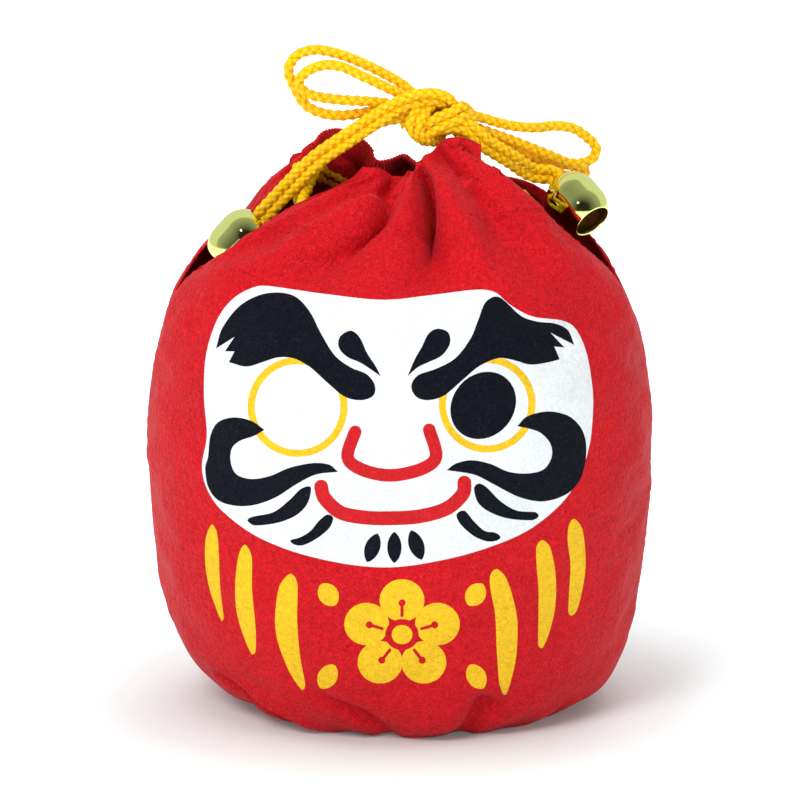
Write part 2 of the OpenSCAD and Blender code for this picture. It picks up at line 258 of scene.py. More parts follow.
# Folds: each is a line of (level, s, height, width). Height is in millimetres out of the cloth,
# and width is a share of the half's width.
FRONT_FOLDS = [
    [(142, -0.5, -2.5, 0.13), (136.5, -0.34, -4.2, 0.1), (131, -0.2, -5.8, 0.07),
     (124, -0.22, -5.0, 0.07), (117, -0.3, -2, 0.09), (108, -0.4, 0, 0.1)],
    [(142, -0.24, 1.8, 0.10), (136, -0.2, 2.6, 0.08), (130, -0.36, 3.2, 0.10),
     (121, -0.5, 2.6, 0.11), (111, -0.62, 1.2, 0.14), (88, -0.7, 0, 0.2)],
    [(142, 0.0, 2.4, 0.09), (135, -0.04, 4.0, 0.06), (128, -0.04, 4.0, 0.06), (120, -0.07, 1.6, 0.075),
     (112, -0.1, 0, 0.1)],
    [(139, 0.06, -2.0, 0.05), (134, 0.07, -9, 0.065), (130, 0.08, -12, 0.075),
     (124.5, 0.09, -11, 0.08), (117, 0.1, -5, 0.1), (106, 0.1, 0, 0.2)],
    [(142, 0.14, 2.0, 0.07), (133.5, 0.19, 4.4, 0.065), (124.5, 0.235, 4.6, 0.075),
     (115, 0.28, 2.4, 0.1), (100, 0.32, 0, 0.15)],
    [(142, 0.3, -1.6, 0.07), (134, 0.34, -4.2, 0.08), (125.5, 0.4, -3.6, 0.09),
     (113, 0.45, -1.8, 0.13), (88, 0.48, 0, 0.2)],
    [(142, 0.62, 2.2, 0.2), (135, 0.62, 1.4, 0.15), (124, 0.66, 0.8, 0.15), (106, 0.7, 0, 0.2)],
    [(142, -0.8, 1.2, 0.1), (131, -0.75, 1.2, 0.1), (120, -0.85, 1.0, 0.08),
     (106, -0.9, 0.6, 0.08), (70, -0.9, 0, 0.1)],
    [(15, -0.66, 0, 0.035), (11, -0.6, -2.8, 0.04), (6, -0.5, -3.6, 0.045), (0, -0.42, -1.6, 0.05)],
    [(15, -0.54, 0, 0.07), (9, -0.48, 1.6, 0.07), (3, -0.38, 1.2, 0.07), (0, -0.32, 0.5, 0.06)],
    [(15, -0.26, 0, 0.03), (11, -0.2, -2.4, 0.035), (5, -0.1, -3.2, 0.04), (0, -0.05, -1.6, 0.05)],
    [(15, 0.26, 0, 0.05), (9, 0.245, -4.6, 0.04), (5, 0.23, -3.8, 0.04), (0, 0.22, -1.4, 0.05)],
    [(16, 0.62, 0, 0.05), (8, 0.6, -1.0, 0.05), (0, 0.58, -0.8, 0.05)],
]
BACK_FOLDS = [
    [(142, -0.55, 3.0, 0.2), (133, -0.55, 1.5, 0.15), (120, -0.6, 0.8, 0.15), (106, -0.65, 0, 0.2)],
    [(142, -0.15, -3.0, 0.12), (131, -0.12, -4.5, 0.1), (120, -0.12, -2.0, 0.12), (104, -0.1, 0, 0.2)],
    [(142, 0.15, 2.0, 0.1), (131, 0.1, 2.2, 0.1), (117, 0.14, 1.0, 0.15), (94, 0.15, 0, 0.2)],
    [(142, 0.4, -2.4, 0.1), (131, 0.36, -3.0, 0.1), (117, 0.4, -1.2, 0.14), (94, 0.45, 0, 0.2)],
    [(142, 0.7, 1.6, 0.14), (128, 0.66, 1.6, 0.12), (106, 0.7, 0, 0.2)],
    [(142, -0.85, -1.5, 0.08), (128, -0.8, -1.8, 0.1), (110, -0.8, 0, 0.12)],
    [(16, -0.62, 0, 0.04), (9, -0.56, -1.6, 0.05), (0, -0.5, -1.0, 0.05)],
    [(14, -0.2, 0, 0.04), (8, -0.24, -1.8, 0.05), (0, -0.28, -1.0, 0.05)],
    [(16, 0.1, 0, 0.04), (8, 0.14, -1.6, 0.05), (0, 0.16, -1.0, 0.05)],
    [(14, 0.5, 0, 0.04), (7, 0.46, -1.8, 0.05), (0, 0.42, -1.0, 0.05)],
]
FOLDS = {FRONT: FRONT_FOLDS, BACK: BACK_FOLDS}


# Where the cloth is drawn together sideways, so that a fold's walls stand up: (level, s, pull, width)
PINCHES = {
    FRONT: [
        [(142, 0.06, 0.6, 0.07), (134, 0.07, 3.2, 0.1), (130, 0.08, 4.6, 0.12), (124.5, 0.09, 4.6, 0.13),
         (117, 0.1, 2.2, 0.15), (110, 0.1, 0, 0.15)],
        [(137, -0.34, 0, 0.1), (131, -0.2, 2.8, 0.11), (124, -0.22, 2.8, 0.11), (116, -0.3, 0, 0.1)],
        [(140, 0.3, 0, 0.1), (133, 0.35, 1.4, 0.11), (125.5, 0.4, 1.4, 0.12), (114, 0.45, 0, 0.13)],
    ],
    BACK: [
        [(142, -0.15, 0.6, 0.12), (131, -0.12, 2.0, 0.12), (120, -0.12, 1.0, 0.14), (110, -0.1, 0, 0.15)],
        [(142, 0.4, 0.6, 0.11), (131, 0.36, 1.6, 0.12), (117, 0.4, 0.6, 0.14), (108, 0.4, 0, 0.14)],
    ],
}


def read_line(line, level):
    """A fold's line at each level: whether it is there, then its place, size and width."""
    at, *parts = np.array(sorted(line)).T
    there = (level >= at[0]) & (level <= at[-1])
    return there, *(smooth_table(level, at, part) for part in parts)


def add_folds(side, points, s, level):
    height = np.zeros_like(s)
    for fold in FOLDS[side]:
        there, centre, out, width = read_line(fold, level)
        height += there * out * np.exp(-(((s - centre) / width) ** 2))
    edge = np.clip((1 - np.abs(s)) / 0.06, 0, 1)
    folded = points + (height * edge)[..., None] * outward(side, points)
    for pinch in PINCHES[side]:
        there, centre, pull, width = read_line(pinch, level)
        share = (s - centre) / width
        folded[..., 0] -= there * pull * share * np.exp(-(share**2))
    return folded


# Slow unevenness of filled cloth, as a few crossed waves: (size, across, up, start)
WAVES = ((0.35, 2.3, 0.021, 0.4), (0.3, 3.7, -0.034, 2.1), (0.22, 5.9, 0.052, 4.0), (0.15, 9.1, -0.075, 1.2))


def add_waves(side, points, s, level):
    height = sum(a * np.sin(math.pi * k * s + 2 * math.pi * m * level + p + side) for a, k, m, p in WAVES)
    edge = np.clip((1 - np.abs(s)) / 0.1, 0, 1)
    return points + (height * edge)[..., None] * outward(side, points)


# ---------------------------------------------------------------- cloth
SIM_SCALE = 10              # the solver is steady on pieces about a metre wide


def settle_cloth(points, pinned, frames, pressure, slack):
    """Relax a grid of cloth by simulation: pinned points stay and the rest swells and creases."""
    rows, cols = points.shape[:2]
    quads = grid_quads(rows, cols)
    piece = new_piece("settling", points.reshape(-1, 3) * SIM_SCALE, quads, [])
    group = piece.vertex_groups.new(name="pinned")
    weights = pinned.reshape(-1)
    for weight in sorted(set(np.round(weights, 2))):
        if weight > 0:
            group.add(np.flatnonzero(np.round(weights, 2) == weight).tolist(), float(weight), "REPLACE")
    cloth = piece.modifiers.new("cloth", "CLOTH")
    setting = cloth.settings
    setting.quality = 6
    setting.mass = 0.3
    setting.air_damping = 4
    setting.tension_stiffness = setting.compression_stiffness = 20
    setting.shear_stiffness = 5
    setting.bending_stiffness = 0.6
    setting.vertex_group_mass = "pinned"
    setting.pin_stiffness = 2
    setting.shrink_min = -slack
    setting.use_pressure = True
    setting.uniform_pressure_force = pressure
    setting.effector_weights.gravity = 0
    cloth.collision_settings.use_collision = False
    scene = bpy.context.scene
    scene.frame_start, scene.frame_end = 1, frames
    cloth.point_cache.frame_start, cloth.point_cache.frame_end = 1, frames
    for frame_number in range(1, frames + 1):
        scene.frame_set(frame_number)
    graph = bpy.context.evaluated_depsgraph_get()
    result = piece.evaluated_get(graph).to_mesh()
    settled = np.empty(len(result.vertices) * 3)
    result.vertices.foreach_get("co", settled)
    scene.frame_set(1)
    bpy.data.objects.remove(piece, do_unlink=True)
    return settled.reshape(rows, cols, 3) / SIM_SCALE / MM


def grid_quads(rows, cols):
    return [
        (i * cols + j, i * cols + j + 1, (i + 1) * cols + j + 1, (i + 1) * cols + j)
        for i in range(rows - 1) for j in range(cols - 1)
    ]


def form_panel(side):
    """The finished surface of one half of the pouch: points and levels."""
    bare, s, level = bare_panel(side)
    shaped = add_waves(side, add_folds(side, bare, s, level), s, level)
    edge_distance = np.minimum(1 - np.abs(s), level / 60)
    pinned = np.clip(1 - edge_distance / 0.06, 0, 1)
    pinned[level > CHANNEL_LOW] = 1
    settled = settle_cloth(shaped, pinned, frames=14, pressure=0.6, slack=0.012)
    return settled, level


# ---------------------------------------------------------------- printed artwork
# The artwork is drawn as it is seen from the front: millimetres right of the middle and up from
# the floor. A third value marks a corner, and the curve is smooth everywhere else.
FACE = [
    (-36.4, 102.4), (-32.4, 102.6), (-19, 100.7), (-4.3, 99.2), (7.8, 100.4), (18.5, 101.7),
    (23.5, 101.2), (27.9, 97.7), (33.2, 95), (40.6, 94), (43.9, 92), (46.6, 86), (48.1, 77.3),
    (48.2, 70.6), (47.3, 62.5), (44.6, 54.5), (39.9, 47.8), (31.2, 41.1), (18.5, 36.1),
    (5.1, 33.1), (-4.3, 32.3), (-15, 33.4), (-27.1, 36.4), (-37.1, 40.8), (-45.1, 47.1),
    (-48.5, 52.5), (-49.5, 57.9), (-48.3, 65.2), (-49, 75.3), (-48.5, 85.3), (-45.8, 94), (-41.8, 99.4),
]
BROW_LEFT = [
    (-46, 87, 1), (-44.5, 92), (-40.4, 97.4), (-35.1, 100.4), (-29.7, 101), (-25.7, 99.7),
    (-22.4, 96), (-19.7, 90.7), (-16.3, 85.3), (-12.3, 82.3), (-8.3, 80.6), (-6.3, 77.9),
    (-6.6, 75.3), (-9.6, 74.1), (-13.7, 74.9), (-18.3, 78.6), (-22.4, 82.3), (-26.4, 84.5),
    (-30.4, 84.8), (-34.4, 83.6), (-38.4, 82.5), (-42.8, 83.6, 1), (-41.4, 86.3, 1),
    (-43.8, 86.3, 1), (-41.4, 89.9, 1),
]
BROW_RIGHT = [
    (23.5, 100), (21.2, 98.4), (19.5, 94), (17.5, 89.3), (13.8, 84.6), (9.1, 82), (4.4, 80.3),
    (2.8, 77.6), (4.1, 74.9), (7.1, 74.1), (11.1, 75.3), (15.8, 79.3), (19.8, 82.6), (24.5, 84.6),
    (28.5, 84.1), (32.6, 83), (37.2, 83.6), (39.9, 84.3, 1), (38.6, 87.5, 1), (41.1, 87.3, 1),
    (37.6, 91, 1), (43.6, 87.9, 1), (41.9, 91.7), (38.6, 93.3), (34.6, 93.7), (30.5, 95),
    (27.2, 98), (25.2, 99.7),
]
FROWN_LEFT = [
    (-12.3, 91.5), (-15, 90), (-15.3, 87.3), (-13.3, 85), (-9.6, 83.3), (-4.8, 80.1, 1),
    (-6.3, 83), (-8.3, 86), (-10, 89.7),
]
FROWN_RIGHT = [
    (9.4, 92), (12.1, 91), (12.5, 88.3), (10.5, 85.3), (7.1, 83.6), (4.4, 82.3),
    (1.9, 80.1, 1), (3.8, 84.6), (5.4, 87.3), (7.1, 90.7),
]
MOUSTACHE_LEFT = [
    (-33.9, 66.7, 1), (-37.1, 68.9), (-41.5, 69.8), (-45.5, 68.6), (-47.4, 65.2), (-48, 59.9),
    (-48.7, 57.2), (-48, 52.5), (-45.5, 49.1), (-41.1, 47.7), (-36.4, 47.9), (-31.1, 49.8),
    (-25.7, 53.2), (-21, 55.5), (-15.5, 56.2, 1), (-17.7, 58), (-21.7, 58.4), (-27.7, 57.2),
    (-32.4, 55.2), (-37.1, 54.4), (-40.8, 55.5), (-42.3, 58.5), (-42.1, 61.9), (-40.1, 63.9),
    (-36.4, 65.2),
]
MOUSTACHE_RIGHT = [
    (29.3, 67.6, 1), (31.5, 69.9), (35.2, 71.1), (38.6, 71.2), (42.6, 69.9), (45.6, 66.6),
    (46.6, 61.9), (45.7, 55.8), (43.2, 51.8), (39.2, 49.5), (34.6, 48.8), (29.2, 50.1),
    (23.2, 53.2), (18.5, 55.5), (11.7, 56.6, 1), (13.8, 58.2), (17.8, 59.1), (22.5, 58.2),
    (27.2, 56.2), (31.9, 55.8), (35.9, 56.8), (37.9, 59.9), (37.6, 63.2), (35.2, 65.9), (32.6, 66.9),
]
WHISKERS = [
    [(-22.2, 52.2), (-23, 48.5), (-25.7, 45.5), (-30.4, 43.5), (-36.4, 42.8), (-38.2, 44.1),
     (-36.8, 45), (-31.7, 46.1), (-27.7, 49.1), (-25, 51.8), (-23, 52.6)],
    [(-16.7, 44.8), (-17.7, 42.1), (-21, 39.4), (-24.4, 37.8), (-26.7, 38.1), (-27.4, 39.1),
     (-25, 39.8), (-22.4, 41.4), (-20.4, 43.8), (-18.3, 45.5)],
    [(18.5, 52.2), (19.5, 48.5), (22.5, 46.1), (27.2, 44.5), (33.2, 44.1), (34.7, 45.1),
     (33.9, 46.1), (29.2, 46.5), (25.2, 48.8), (21.8, 52.2), (19.8, 53.3)],
    [(14.1, 45.5), (15.1, 43.1), (18.5, 40.1), (21.8, 38.8), (24.2, 39), (25.2, 39.9),
     (23.8, 41), (21.2, 41.4), (18.5, 43.8), (16.1, 46.5)],
]
# Three seed marks on the chin: (middle, half length, half width, lean in degrees)
CHIN_SEEDS = [((-6.9, 37.2), 3.8, 1.9, -20), ((-1.4, 37.3), 3.9, 1.8, 0), ((4.1, 37.9), 3.9, 1.9, 20)]
STRIPES = [
    [(-47.1, 43), (-45.8, 41.1), (-45.3, 35.8), (-45, 27.7), (-44.1, 19.7), (-44.6, 18.9),
     (-46.1, 22.4), (-47.8, 27.7), (-48.7, 33.7), (-48.5, 39.8)],
    [(-38.8, 38), (-37.1, 35.1), (-37, 27), (-36.1, 17), (-36.1, 11.3), (-37, 10.5),
     (-38.8, 14.3), (-40.8, 21), (-41.2, 27.7), (-40.4, 35.1)],
    [(-27.4, 30.7), (-25.7, 28.4), (-25.7, 19), (-25, 10.3), (-23.7, 2.9), (-24.5, 1.6),
     (-27.7, 6.3), (-30.7, 14.3), (-31.2, 20.4), (-30.1, 27.7)],
    [(24.2, 31.9), (26.5, 29.7), (28.5, 23.7), (29.4, 17.7), (28.9, 9), (26.9, 1.3), (26, 0.4),
     (24.9, 2.9), (24.2, 11.6), (23.8, 20.4), (22.6, 27), (22.6, 30.4)],
    [(35.8, 39.1), (37.6, 37.1), (38.9, 30.4), (38.8, 22.4), (37.2, 15.7), (35.6, 12.1),
     (34.6, 12.7), (34.6, 20.4), (34.6, 27), (34.1, 33.7), (34.2, 37.8)],
    [(43.6, 44.5), (45.6, 41.8), (46.4, 34.4), (45.9, 28.4), (44.3, 21.7), (42.9, 20.2),
     (42.1, 21), (42.3, 26.4), (42.6, 33.1), (41.9, 39.1), (42.3, 43.1)],
]
NOSE = [(-11.2, 66.2), (-13.1, 59.9), (-9.6, 56.8), (-2.6, 55.3), (5.1, 56.8), (9, 59.9), (7.3, 66.7)]
MOUTH = [(-19.7, 52.5), (-19, 49.8), (-15, 46.1), (-9, 44.8), (-2.3, 44.6), (5.1, 45.1),
         (11.8, 47.1), (15.8, 50.8), (16.1, 53.5)]
EYES = [((-25.6, 72.4), 12.5, 10.7), ((21.8, 73.1), 12.1, 10.3)]
PUPIL_AT, PUPIL_LONG, PUPIL_SHORT, PUPIL_LEAN = (20.8, 72.8), 8.9, 7.7, 40
NOSE_WIDTH, MOUTH_WIDTH = 3.2, 3.5
CREST_AT, CREST_R, CREST_FLAT = (0.5, 15.5), 9.3, 0.92


def smooth_outline(points, step=0.8, closed=True):
    """Points along a smooth curve through the given ones, with corners where they are marked."""
    spots = [np.array(p[:2], float) for p in points]
    corners = [len(p) > 2 for p in points]
    count = len(spots)
    tangents = []
    for i in range(count):
        before = spots[i - 1] if closed or i > 0 else spots[i]
        after = spots[(i + 1) % count] if closed or i < count - 1 else spots[i]
        tangents.append((after - before) / 2)
    curve = []
    for i in range(count if closed else count - 1):
        j = (i + 1) % count
        a, b = spots[i], spots[j]
        chord = b - a
        length = np.linalg.norm(chord)
        out = chord if corners[i] else tangents[i] * min(1, length / np.linalg.norm(tangents[i]))
        into = chord if corners[j] else tangents[j] * min(1, length / np.linalg.norm(tangents[j]))
        pieces = max(2, int(round(length / step)))
        curve += [cubic(f, a, out, b, into) for f in np.arange(pieces) / pieces]
    if not closed:
        curve.append(spots[-1])
    return np.array(curve)


def ellipse(middle, along, across, lean=0, pointed=0.0, count=40):
    """An oval, drawn to a point at its ends when pointed is near 1."""
    turn = np.linspace(0, 2 * math.pi, count, endpoint=False)
    x, y = across * np.sin(turn) * np.abs(np.sin(turn)) ** pointed, along * np.cos(turn)
    c, s = math.cos(math.radians(lean)), math.sin(math.radians(lean))
    return np.stack([middle[0] + x * c - y * s, middle[1] + x * s + y * c], axis=1)


def brush_stroke(points, width):
    """The outline of a stroke of even width with round ends."""
    line = smooth_outline(points, closed=False)
    ahead = np.gradient(line, axis=0)
    ahead /= np.linalg.norm(ahead, axis=1, keepdims=True)
    side = np.stack([-ahead[:, 1], ahead[:, 0]], axis=1) * width / 2
    turn = np.linspace(0, math.pi, 8)[1:-1, None]
    finish = line[-1] + np.cos(turn) * side[-1] + np.sin(turn) * ahead[-1] * width / 2
    start = line[0] - np.cos(turn) * side[0] - np.sin(turn) * ahead[0] * width / 2
    return np.concatenate([line + side, finish, (line - side)[::-1], start])


def blossom():
    """A plain plum blossom between four dots, in place of the lettering on the original."""
    def petal_point(reach, turn):
        return (CREST_AT[0] + reach * math.cos(turn), CREST_AT[1] + CREST_FLAT * reach * math.sin(turn))

    turns = [math.radians(90 + 72 * k) for k in range(5)]
    shapes = [("gold", ellipse(petal_point(CREST_R, turn), 5.3, 5.6)) for turn in turns]
    shapes.append(("red", ellipse(CREST_AT, 3.9, 4.2)))
    shapes.append(("gold", ellipse(CREST_AT, 2.4, 2.6)))
    for turn in turns:
        tip = petal_point(8.6, turn)
        shapes.append(("red", brush_stroke([petal_point(5.2, turn), tip], 0.8)))
        shapes.append(("red", ellipse(tip, 0.9, 0.9, count=14)))
    for side in (-1, 1):
        upper, lower = (CREST_AT[0] + side * 18.4, 25.5), (CREST_AT[0] + side * 18.6, 5.0)
        shapes.append(("gold", ellipse(upper, 3.2, 2.5, lean=-side * 35, pointed=0.3)))
        shapes.append(("gold", ellipse(lower, 3.4, 2.4, lean=side * 30, pointed=0.3)))
    return shapes


def artwork():
    """Every printed shape, lowest layer first: (ink, outline)."""
    shapes = [("white", smooth_outline(FACE))]
    for middle, outer, inner in EYES:
        for ink, radius in (("gold", outer), ("white", inner)):
            shapes.append((ink, ellipse(middle, radius, radius, count=90)))
    shapes.append(("black", ellipse(PUPIL_AT, PUPIL_LONG, PUPIL_SHORT, lean=-PUPIL_LEAN, count=60)))
    brushed = [BROW_LEFT, BROW_RIGHT, FROWN_LEFT, FROWN_RIGHT, MOUSTACHE_LEFT, MOUSTACHE_RIGHT]
    shapes += [("black", smooth_outline(outline)) for outline in brushed + WHISKERS]
    for middle, along, across, lean in CHIN_SEEDS:
        shapes.append(("black", ellipse(middle, along, across, lean=lean, pointed=0.5)))
    shapes.append(("vermilion", brush_stroke(NOSE, NOSE_WIDTH)))
    shapes.append(("vermilion", brush_stroke(MOUTH, MOUTH_WIDTH)))
    shapes += [("gold", smooth_outline(stripe)) for stripe in STRIPES]
    return shapes + blossom()


def cloth_places(cloth, outlines):
    """Where points of the artwork fall on the front cloth, as (column, row) of its grid."""
    rows, cols = cloth.shape[:2]
    triangles = [t for a, b, c, d in grid_quads(rows, cols) for t in ((a, b, c), (a, c, d))]
    flat = cloth.reshape(-1, 3)
    tree = BVHTree.FromPolygons(flat.tolist(), triangles)
    places = []
    for outline in outlines:
        found = []
        for x, height in outline:
            on_plane = VIEW_TARGET + np.array([x, 0, 0]) + (height - VIEW_TARGET @ VIEW_UP) * VIEW_UP
            aim = on_plane - VIEW_EYE
            hit, _, face, _ = tree.ray_cast(Vector(VIEW_EYE), Vector(aim).normalized())
            if hit is None:
                continue
            corners = triangles[face]
            a, b, c = (flat[k] for k in corners)
            weights = np.linalg.lstsq(np.stack([b - a, c - a], axis=1), np.array(hit) - a, rcond=None)[0]
            spots = [np.array([k % cols, k // cols], float) for k in corners]
            found.append(spots[0] + weights[0] * (spots[1] - spots[0]) + weights[1] * (spots[2] - spots[0]))
        places.append(np.array(found))
    return places


def read_grid(grid, places):
    """A smooth reading of a grid of points at fractional (column, row) places."""
    rows, cols = grid.shape[:2]

    def weights(f):
        return np.stack([
            -0.5 * f**3 + f**2 - 0.5 * f, 1.5 * f**3 - 2.5 * f**2 + 1,
            -1.5 * f**3 + 2 * f**2 + 0.5 * f, 0.5 * f**3 - 0.5 * f**2,
        ], axis=-1)

    padded = np.pad(grid, ((1, 1), (1, 1), (0, 0)), mode="reflect", reflect_type="odd")
    x = np.clip(places[:, 0], 0, cols - 1.000001)
    y = np.clip(places[:, 1], 0, rows - 1.000001)
    x0, y0 = np.floor(x).astype(int), np.floor(y).astype(int)
    wx, wy = weights(x - x0), weights(y - y0)
    total = np.zeros((len(places), 3))
    for j in range(4):
        for i in range(4):
            total += (wy[:, j] * wx[:, i])[:, None] * padded[y0 + j, x0 + i]
    return total


def inside_outline(points, outline):
    """Which of the points lie inside a closed outline."""
    x, y = points[:, 0], points[:, 1]
    odd = np.zeros(len(points), bool)
    near = np.all((points > outline.min(0)) & (points < outline.max(0)), axis=1)
    x, y = x[near], y[near]
    hits = np.zeros(len(x), bool)
    for (x0, y0), (x1, y1) in zip(outline, np.roll(outline, -1, axis=0)):
        if y0 == y1:
            continue
        crosses = ((y0 > y) != (y1 > y)) & (x < x0 + (y - y0) / (y1 - y0) * (x1 - x0))
        hits ^= crosses
    odd[near] = hits
    return odd


INKS = ("red", "white", "black", "gold", "vermilion")


def printed_cloth(name, settled, shapes, materials):
    """One sheet of cloth whose triangles follow the edges of the print."""
    rows, cols = settled.shape[:2]
    outlines = cloth_places(settled, [outline for _, outline in shapes])
    edge_x, edge_y = np.arange(cols, dtype=float), np.arange(rows, dtype=float)
    border = np.concatenate([
        np.stack([edge_x[:-1], 0 * edge_x[:-1]], 1), np.stack([0 * edge_y[:-1] + cols - 1, edge_y[:-1]], 1),
        np.stack([edge_x[:0:-1], 0 * edge_x[1:] + rows - 1], 1), np.stack([0 * edge_y[1:], edge_y[:0:-1]], 1),
    ])
    gx, gy = np.meshgrid(edge_x[1:-1], edge_y[1:-1])
    gx = gx + 0.5 * (gy % 2) - 0.25
    inner = np.stack([gx.ravel(), gy.ravel()], 1)
    clear = np.ones(len(inner), bool)
    for outline in outlines:
        low, high = outline.min(0) - 1, outline.max(0) + 1
        near = np.flatnonzero(np.all((inner > low) & (inner < high), axis=1))
        if len(near):
            gap = np.linalg.norm(inner[near, None] - outline[None], axis=2).min(1)
            clear[near[gap < 0.38]] = False
    spots, edges = [border], []
    for loop in [border] + outlines:
        first = sum(len(s) for s in spots) if loop is not border else 0
        edges += [(first + k, first + (k + 1) % len(loop)) for k in range(len(loop))]
        if loop is not border:
            spots.append(loop)
    spots.append(inner[clear])
    flat = np.concatenate(spots)
    made = delaunay_2d_cdt([Vector(p) for p in flat], edges, [], 0, 1e-4, False)
    places = np.array([tuple(v) for v in made[0]])
    faces = [tuple(f) for f in made[2]]
    middles = np.array([places[list(f)].mean(0) for f in faces])
    ink = np.zeros(len(faces), int)
    for (colour, _), outline in zip(shapes, outlines):
        ink[inside_outline(middles, outline)] = INKS.index(colour)
    piece = new_piece(name, read_grid(settled, places), faces, materials)
    piece.data.polygons.foreach_set("material_index", ink.astype(np.int32))
    return piece


# ---------------------------------------------------------------- materials
class Graph:
    """Short names for building a material's nodes."""

    def __init__(self, name):
        self.material = bpy.data.materials.new(name)
        self.material.use_nodes = True
        self.nodes = self.material.node_tree.nodes
        self.shader = self.nodes["Principled BSDF"]

    def add(self, kind, **settings):
        node = self.nodes.new(kind)
        for key, value in settings.items():
            if key in node.inputs:
                node.inputs[key].default_value = value
            else:
                setattr(node, key, value)
        return node

    def link(self, source, target):
        self.material.node_tree.links.new(source, target)

    def noise(self, place, scale, detail=2.0, roughness=0.5, distortion=0.0):
        node = self.add(
            "ShaderNodeTexNoise", Scale=scale, Detail=detail, Roughness=roughness, Distortion=distortion)
        self.link(place, node.inputs["Vector"])
        return node.outputs["Fac"]

    def ramp(self, source, stops):
        node = self.add("ShaderNodeValToRGB")
        band = node.color_ramp
        band.elements[0].position, band.elements[0].color = stops[0][0], (*stops[0][1], 1)
        band.elements[1].position, band.elements[1].color = stops[-1][0], (*stops[-1][1], 1)
        for position, colour in stops[1:-1]:
            band.elements.new(position).color = (*colour, 1)
        self.link(source, node.inputs["Fac"])
        return node.outputs["Color"]

    def blend(self, how, factor, a, b):
        node = self.add("ShaderNodeMix", data_type="RGBA", blend_type=how)
        for value, socket in ((factor, node.inputs[0]), (a, node.inputs[6]), (b, node.inputs[7])):
            if isinstance(value, bpy.types.NodeSocket):
                self.link(value, socket)
            elif isinstance(value, (int, float)):
                socket.default_value = value
            else:
                socket.default_value = (*value, 1)
        return node.outputs[2]

    def mottle(self, tone, source, low, high):
        """The tone times a grey that runs between two stops, each a (position, value)."""
        greys = self.ramp(source, [(position, grey(value)) for position, value in (low, high)])
        return self.blend("MULTIPLY", 1.0, tone, greys)

    def bump(self, height, strength, distance, under=None):
        node = self.add("ShaderNodeBump", Strength=strength, Distance=distance)
        self.link(height, node.inputs["Height"])
        if under is not None:
            self.link(under, node.inputs["Normal"])
        return node.outputs["Normal"]

    def finish(self, **settings):
        for key, value in settings.items():
            socket = self.shader.inputs[key.replace("_", " ")]
            if isinstance(value, bpy.types.NodeSocket):
                self.link(value, socket)
            else:
                socket.default_value = value
        return self.material


def grey(value):
    return (value, value, value)


def crepe(name, colour, painted_glint=0.5, shade=0.7, sheen=0.12, relief=0.6):
    """Fine crepe cloth: pebbled grain, slow unevenness of dye, and painted glints of single threads, small
    highlights added into the base colour.
    """
    g = Graph(name)
    place = g.add("ShaderNodeTexCoord").outputs["Object"]
    grain = g.noise(place, 1050, 2.0, 0.6, 1.2)
    pebble = g.noise(place, 560, 1.0, 0.5, 0.8)
    dye = g.noise(place, 38, 3.0, 0.6)
    tone = g.mottle(colour, dye, (0.3, 0.93), (0.7, 1.05))
    tone = g.mottle(tone, grain, (0.34, shade), (0.62, 1.08))
    # Painted highlights: bright specks from a fine noise are added to the base colour as glints of single
    # threads.
    glint = g.ramp(g.noise(place, 2300, 1.0, 0.6, 0.8), ((0.56, grey(0)), (0.78, grey(painted_glint))))
    tone = g.blend("ADD", glint, tone, tuple(0.04 + 0.4 * c for c in colour))
    normal = g.bump(grain, 1.0, relief * 0.0006, g.bump(pebble, 1.0, relief * 0.0008))
    return g.finish(
        Base_Color=tone, Roughness=0.62, Normal=normal,
        Sheen_Weight=sheen, Sheen_Roughness=0.4, Sheen_Tint=(*(0.3 + 0.7 * c for c in colour), 1),
        Specular_IOR_Level=0.5 * sheen + 0.04,
    )


RED = (0.60, 0.0066, 0.0135)
VERMILION = (0.58, 0.014, 0.018)
WHITE = (0.73, 0.76, 0.78)
BLACK = (0.0062, 0.0072, 0.0125)
GOLD_INK = (0.84, 0.51, 0.018)
THREAD_RED = (0.56, 0.009, 0.015)
OVERLOCK = (0.62, 0.03, 0.035)


def braid_material():
    """Yellow braid with painted shade: bright on the crowns of its strands, darkened to orange between them,
    where shade falls.
    """
    g = Graph("yellow_braid")
    relief = g.add("ShaderNodeAttribute", attribute_name="relief").outputs["Fac"]
    place = g.add("ShaderNodeTexCoord").outputs["Object"]
    # Painted shade: the plait's relief sets the colour, full yellow on the crowns and darker orange to brown
    # in the gaps between strands.
    painted_plait_shade = ((0.04, (0.50, 0.13, 0.002)), (0.24, (0.95, 0.42, 0.002)), (0.8, (1.0, 0.66, 0.008)))
    tone = g.ramp(relief, painted_plait_shade)
    fibre = g.noise(place, 2600, 2.0, 0.6, 0.4)
    tone = g.mottle(tone, fibre, (0.3, 0.82), (0.68, 1.08))
    tone = g.mottle(tone, g.noise(place, 90, 2.0), (0.3, 0.93), (0.7, 1.04))
    return g.finish(
        Base_Color=tone, Roughness=0.48, Normal=g.bump(fibre, 0.5, 0.00015),
        Sheen_Weight=0.1, Sheen_Roughness=0.4, Sheen_Tint=(1, 0.7, 0.1, 1), Specular_IOR_Level=0.2,
    )


def plating_material():
    """Pale gold plating, with the faint waviness and dust of plated plastic."""
    g = Graph("gold_plating")
    place = g.add("ShaderNodeTexCoord").outputs["Object"]
    dust = g.noise(place, 900, 3.0, 0.7)
    return g.finish(
        Base_Color=(0.86, 0.95, 0.30, 1), Metallic=1.0,
        Roughness=g.ramp(dust, ((0.45, grey(0.06)), (0.75, grey(0.16)))),
        Normal=g.bump(g.noise(place, 160, 1.0), 0.06, 0.0004),
    )


def bead_inside_material():
    """The unplated inside of a bead: dull amber brown with mould flow."""
    g = Graph("bead_inside")
    place = g.add("ShaderNodeTexCoord").outputs["Object"]
    flow = g.noise(place, 420, 3.0, 0.6, 1.0)
    tone = g.ramp(flow, ((0.3, (0.10, 0.045, 0.012)), (0.7, (0.24, 0.12, 0.035))))
    return g.finish(Base_Color=tone, Metallic=0.35, Roughness=0.38, Normal=g.bump(flow, 0.2, 0.0002))


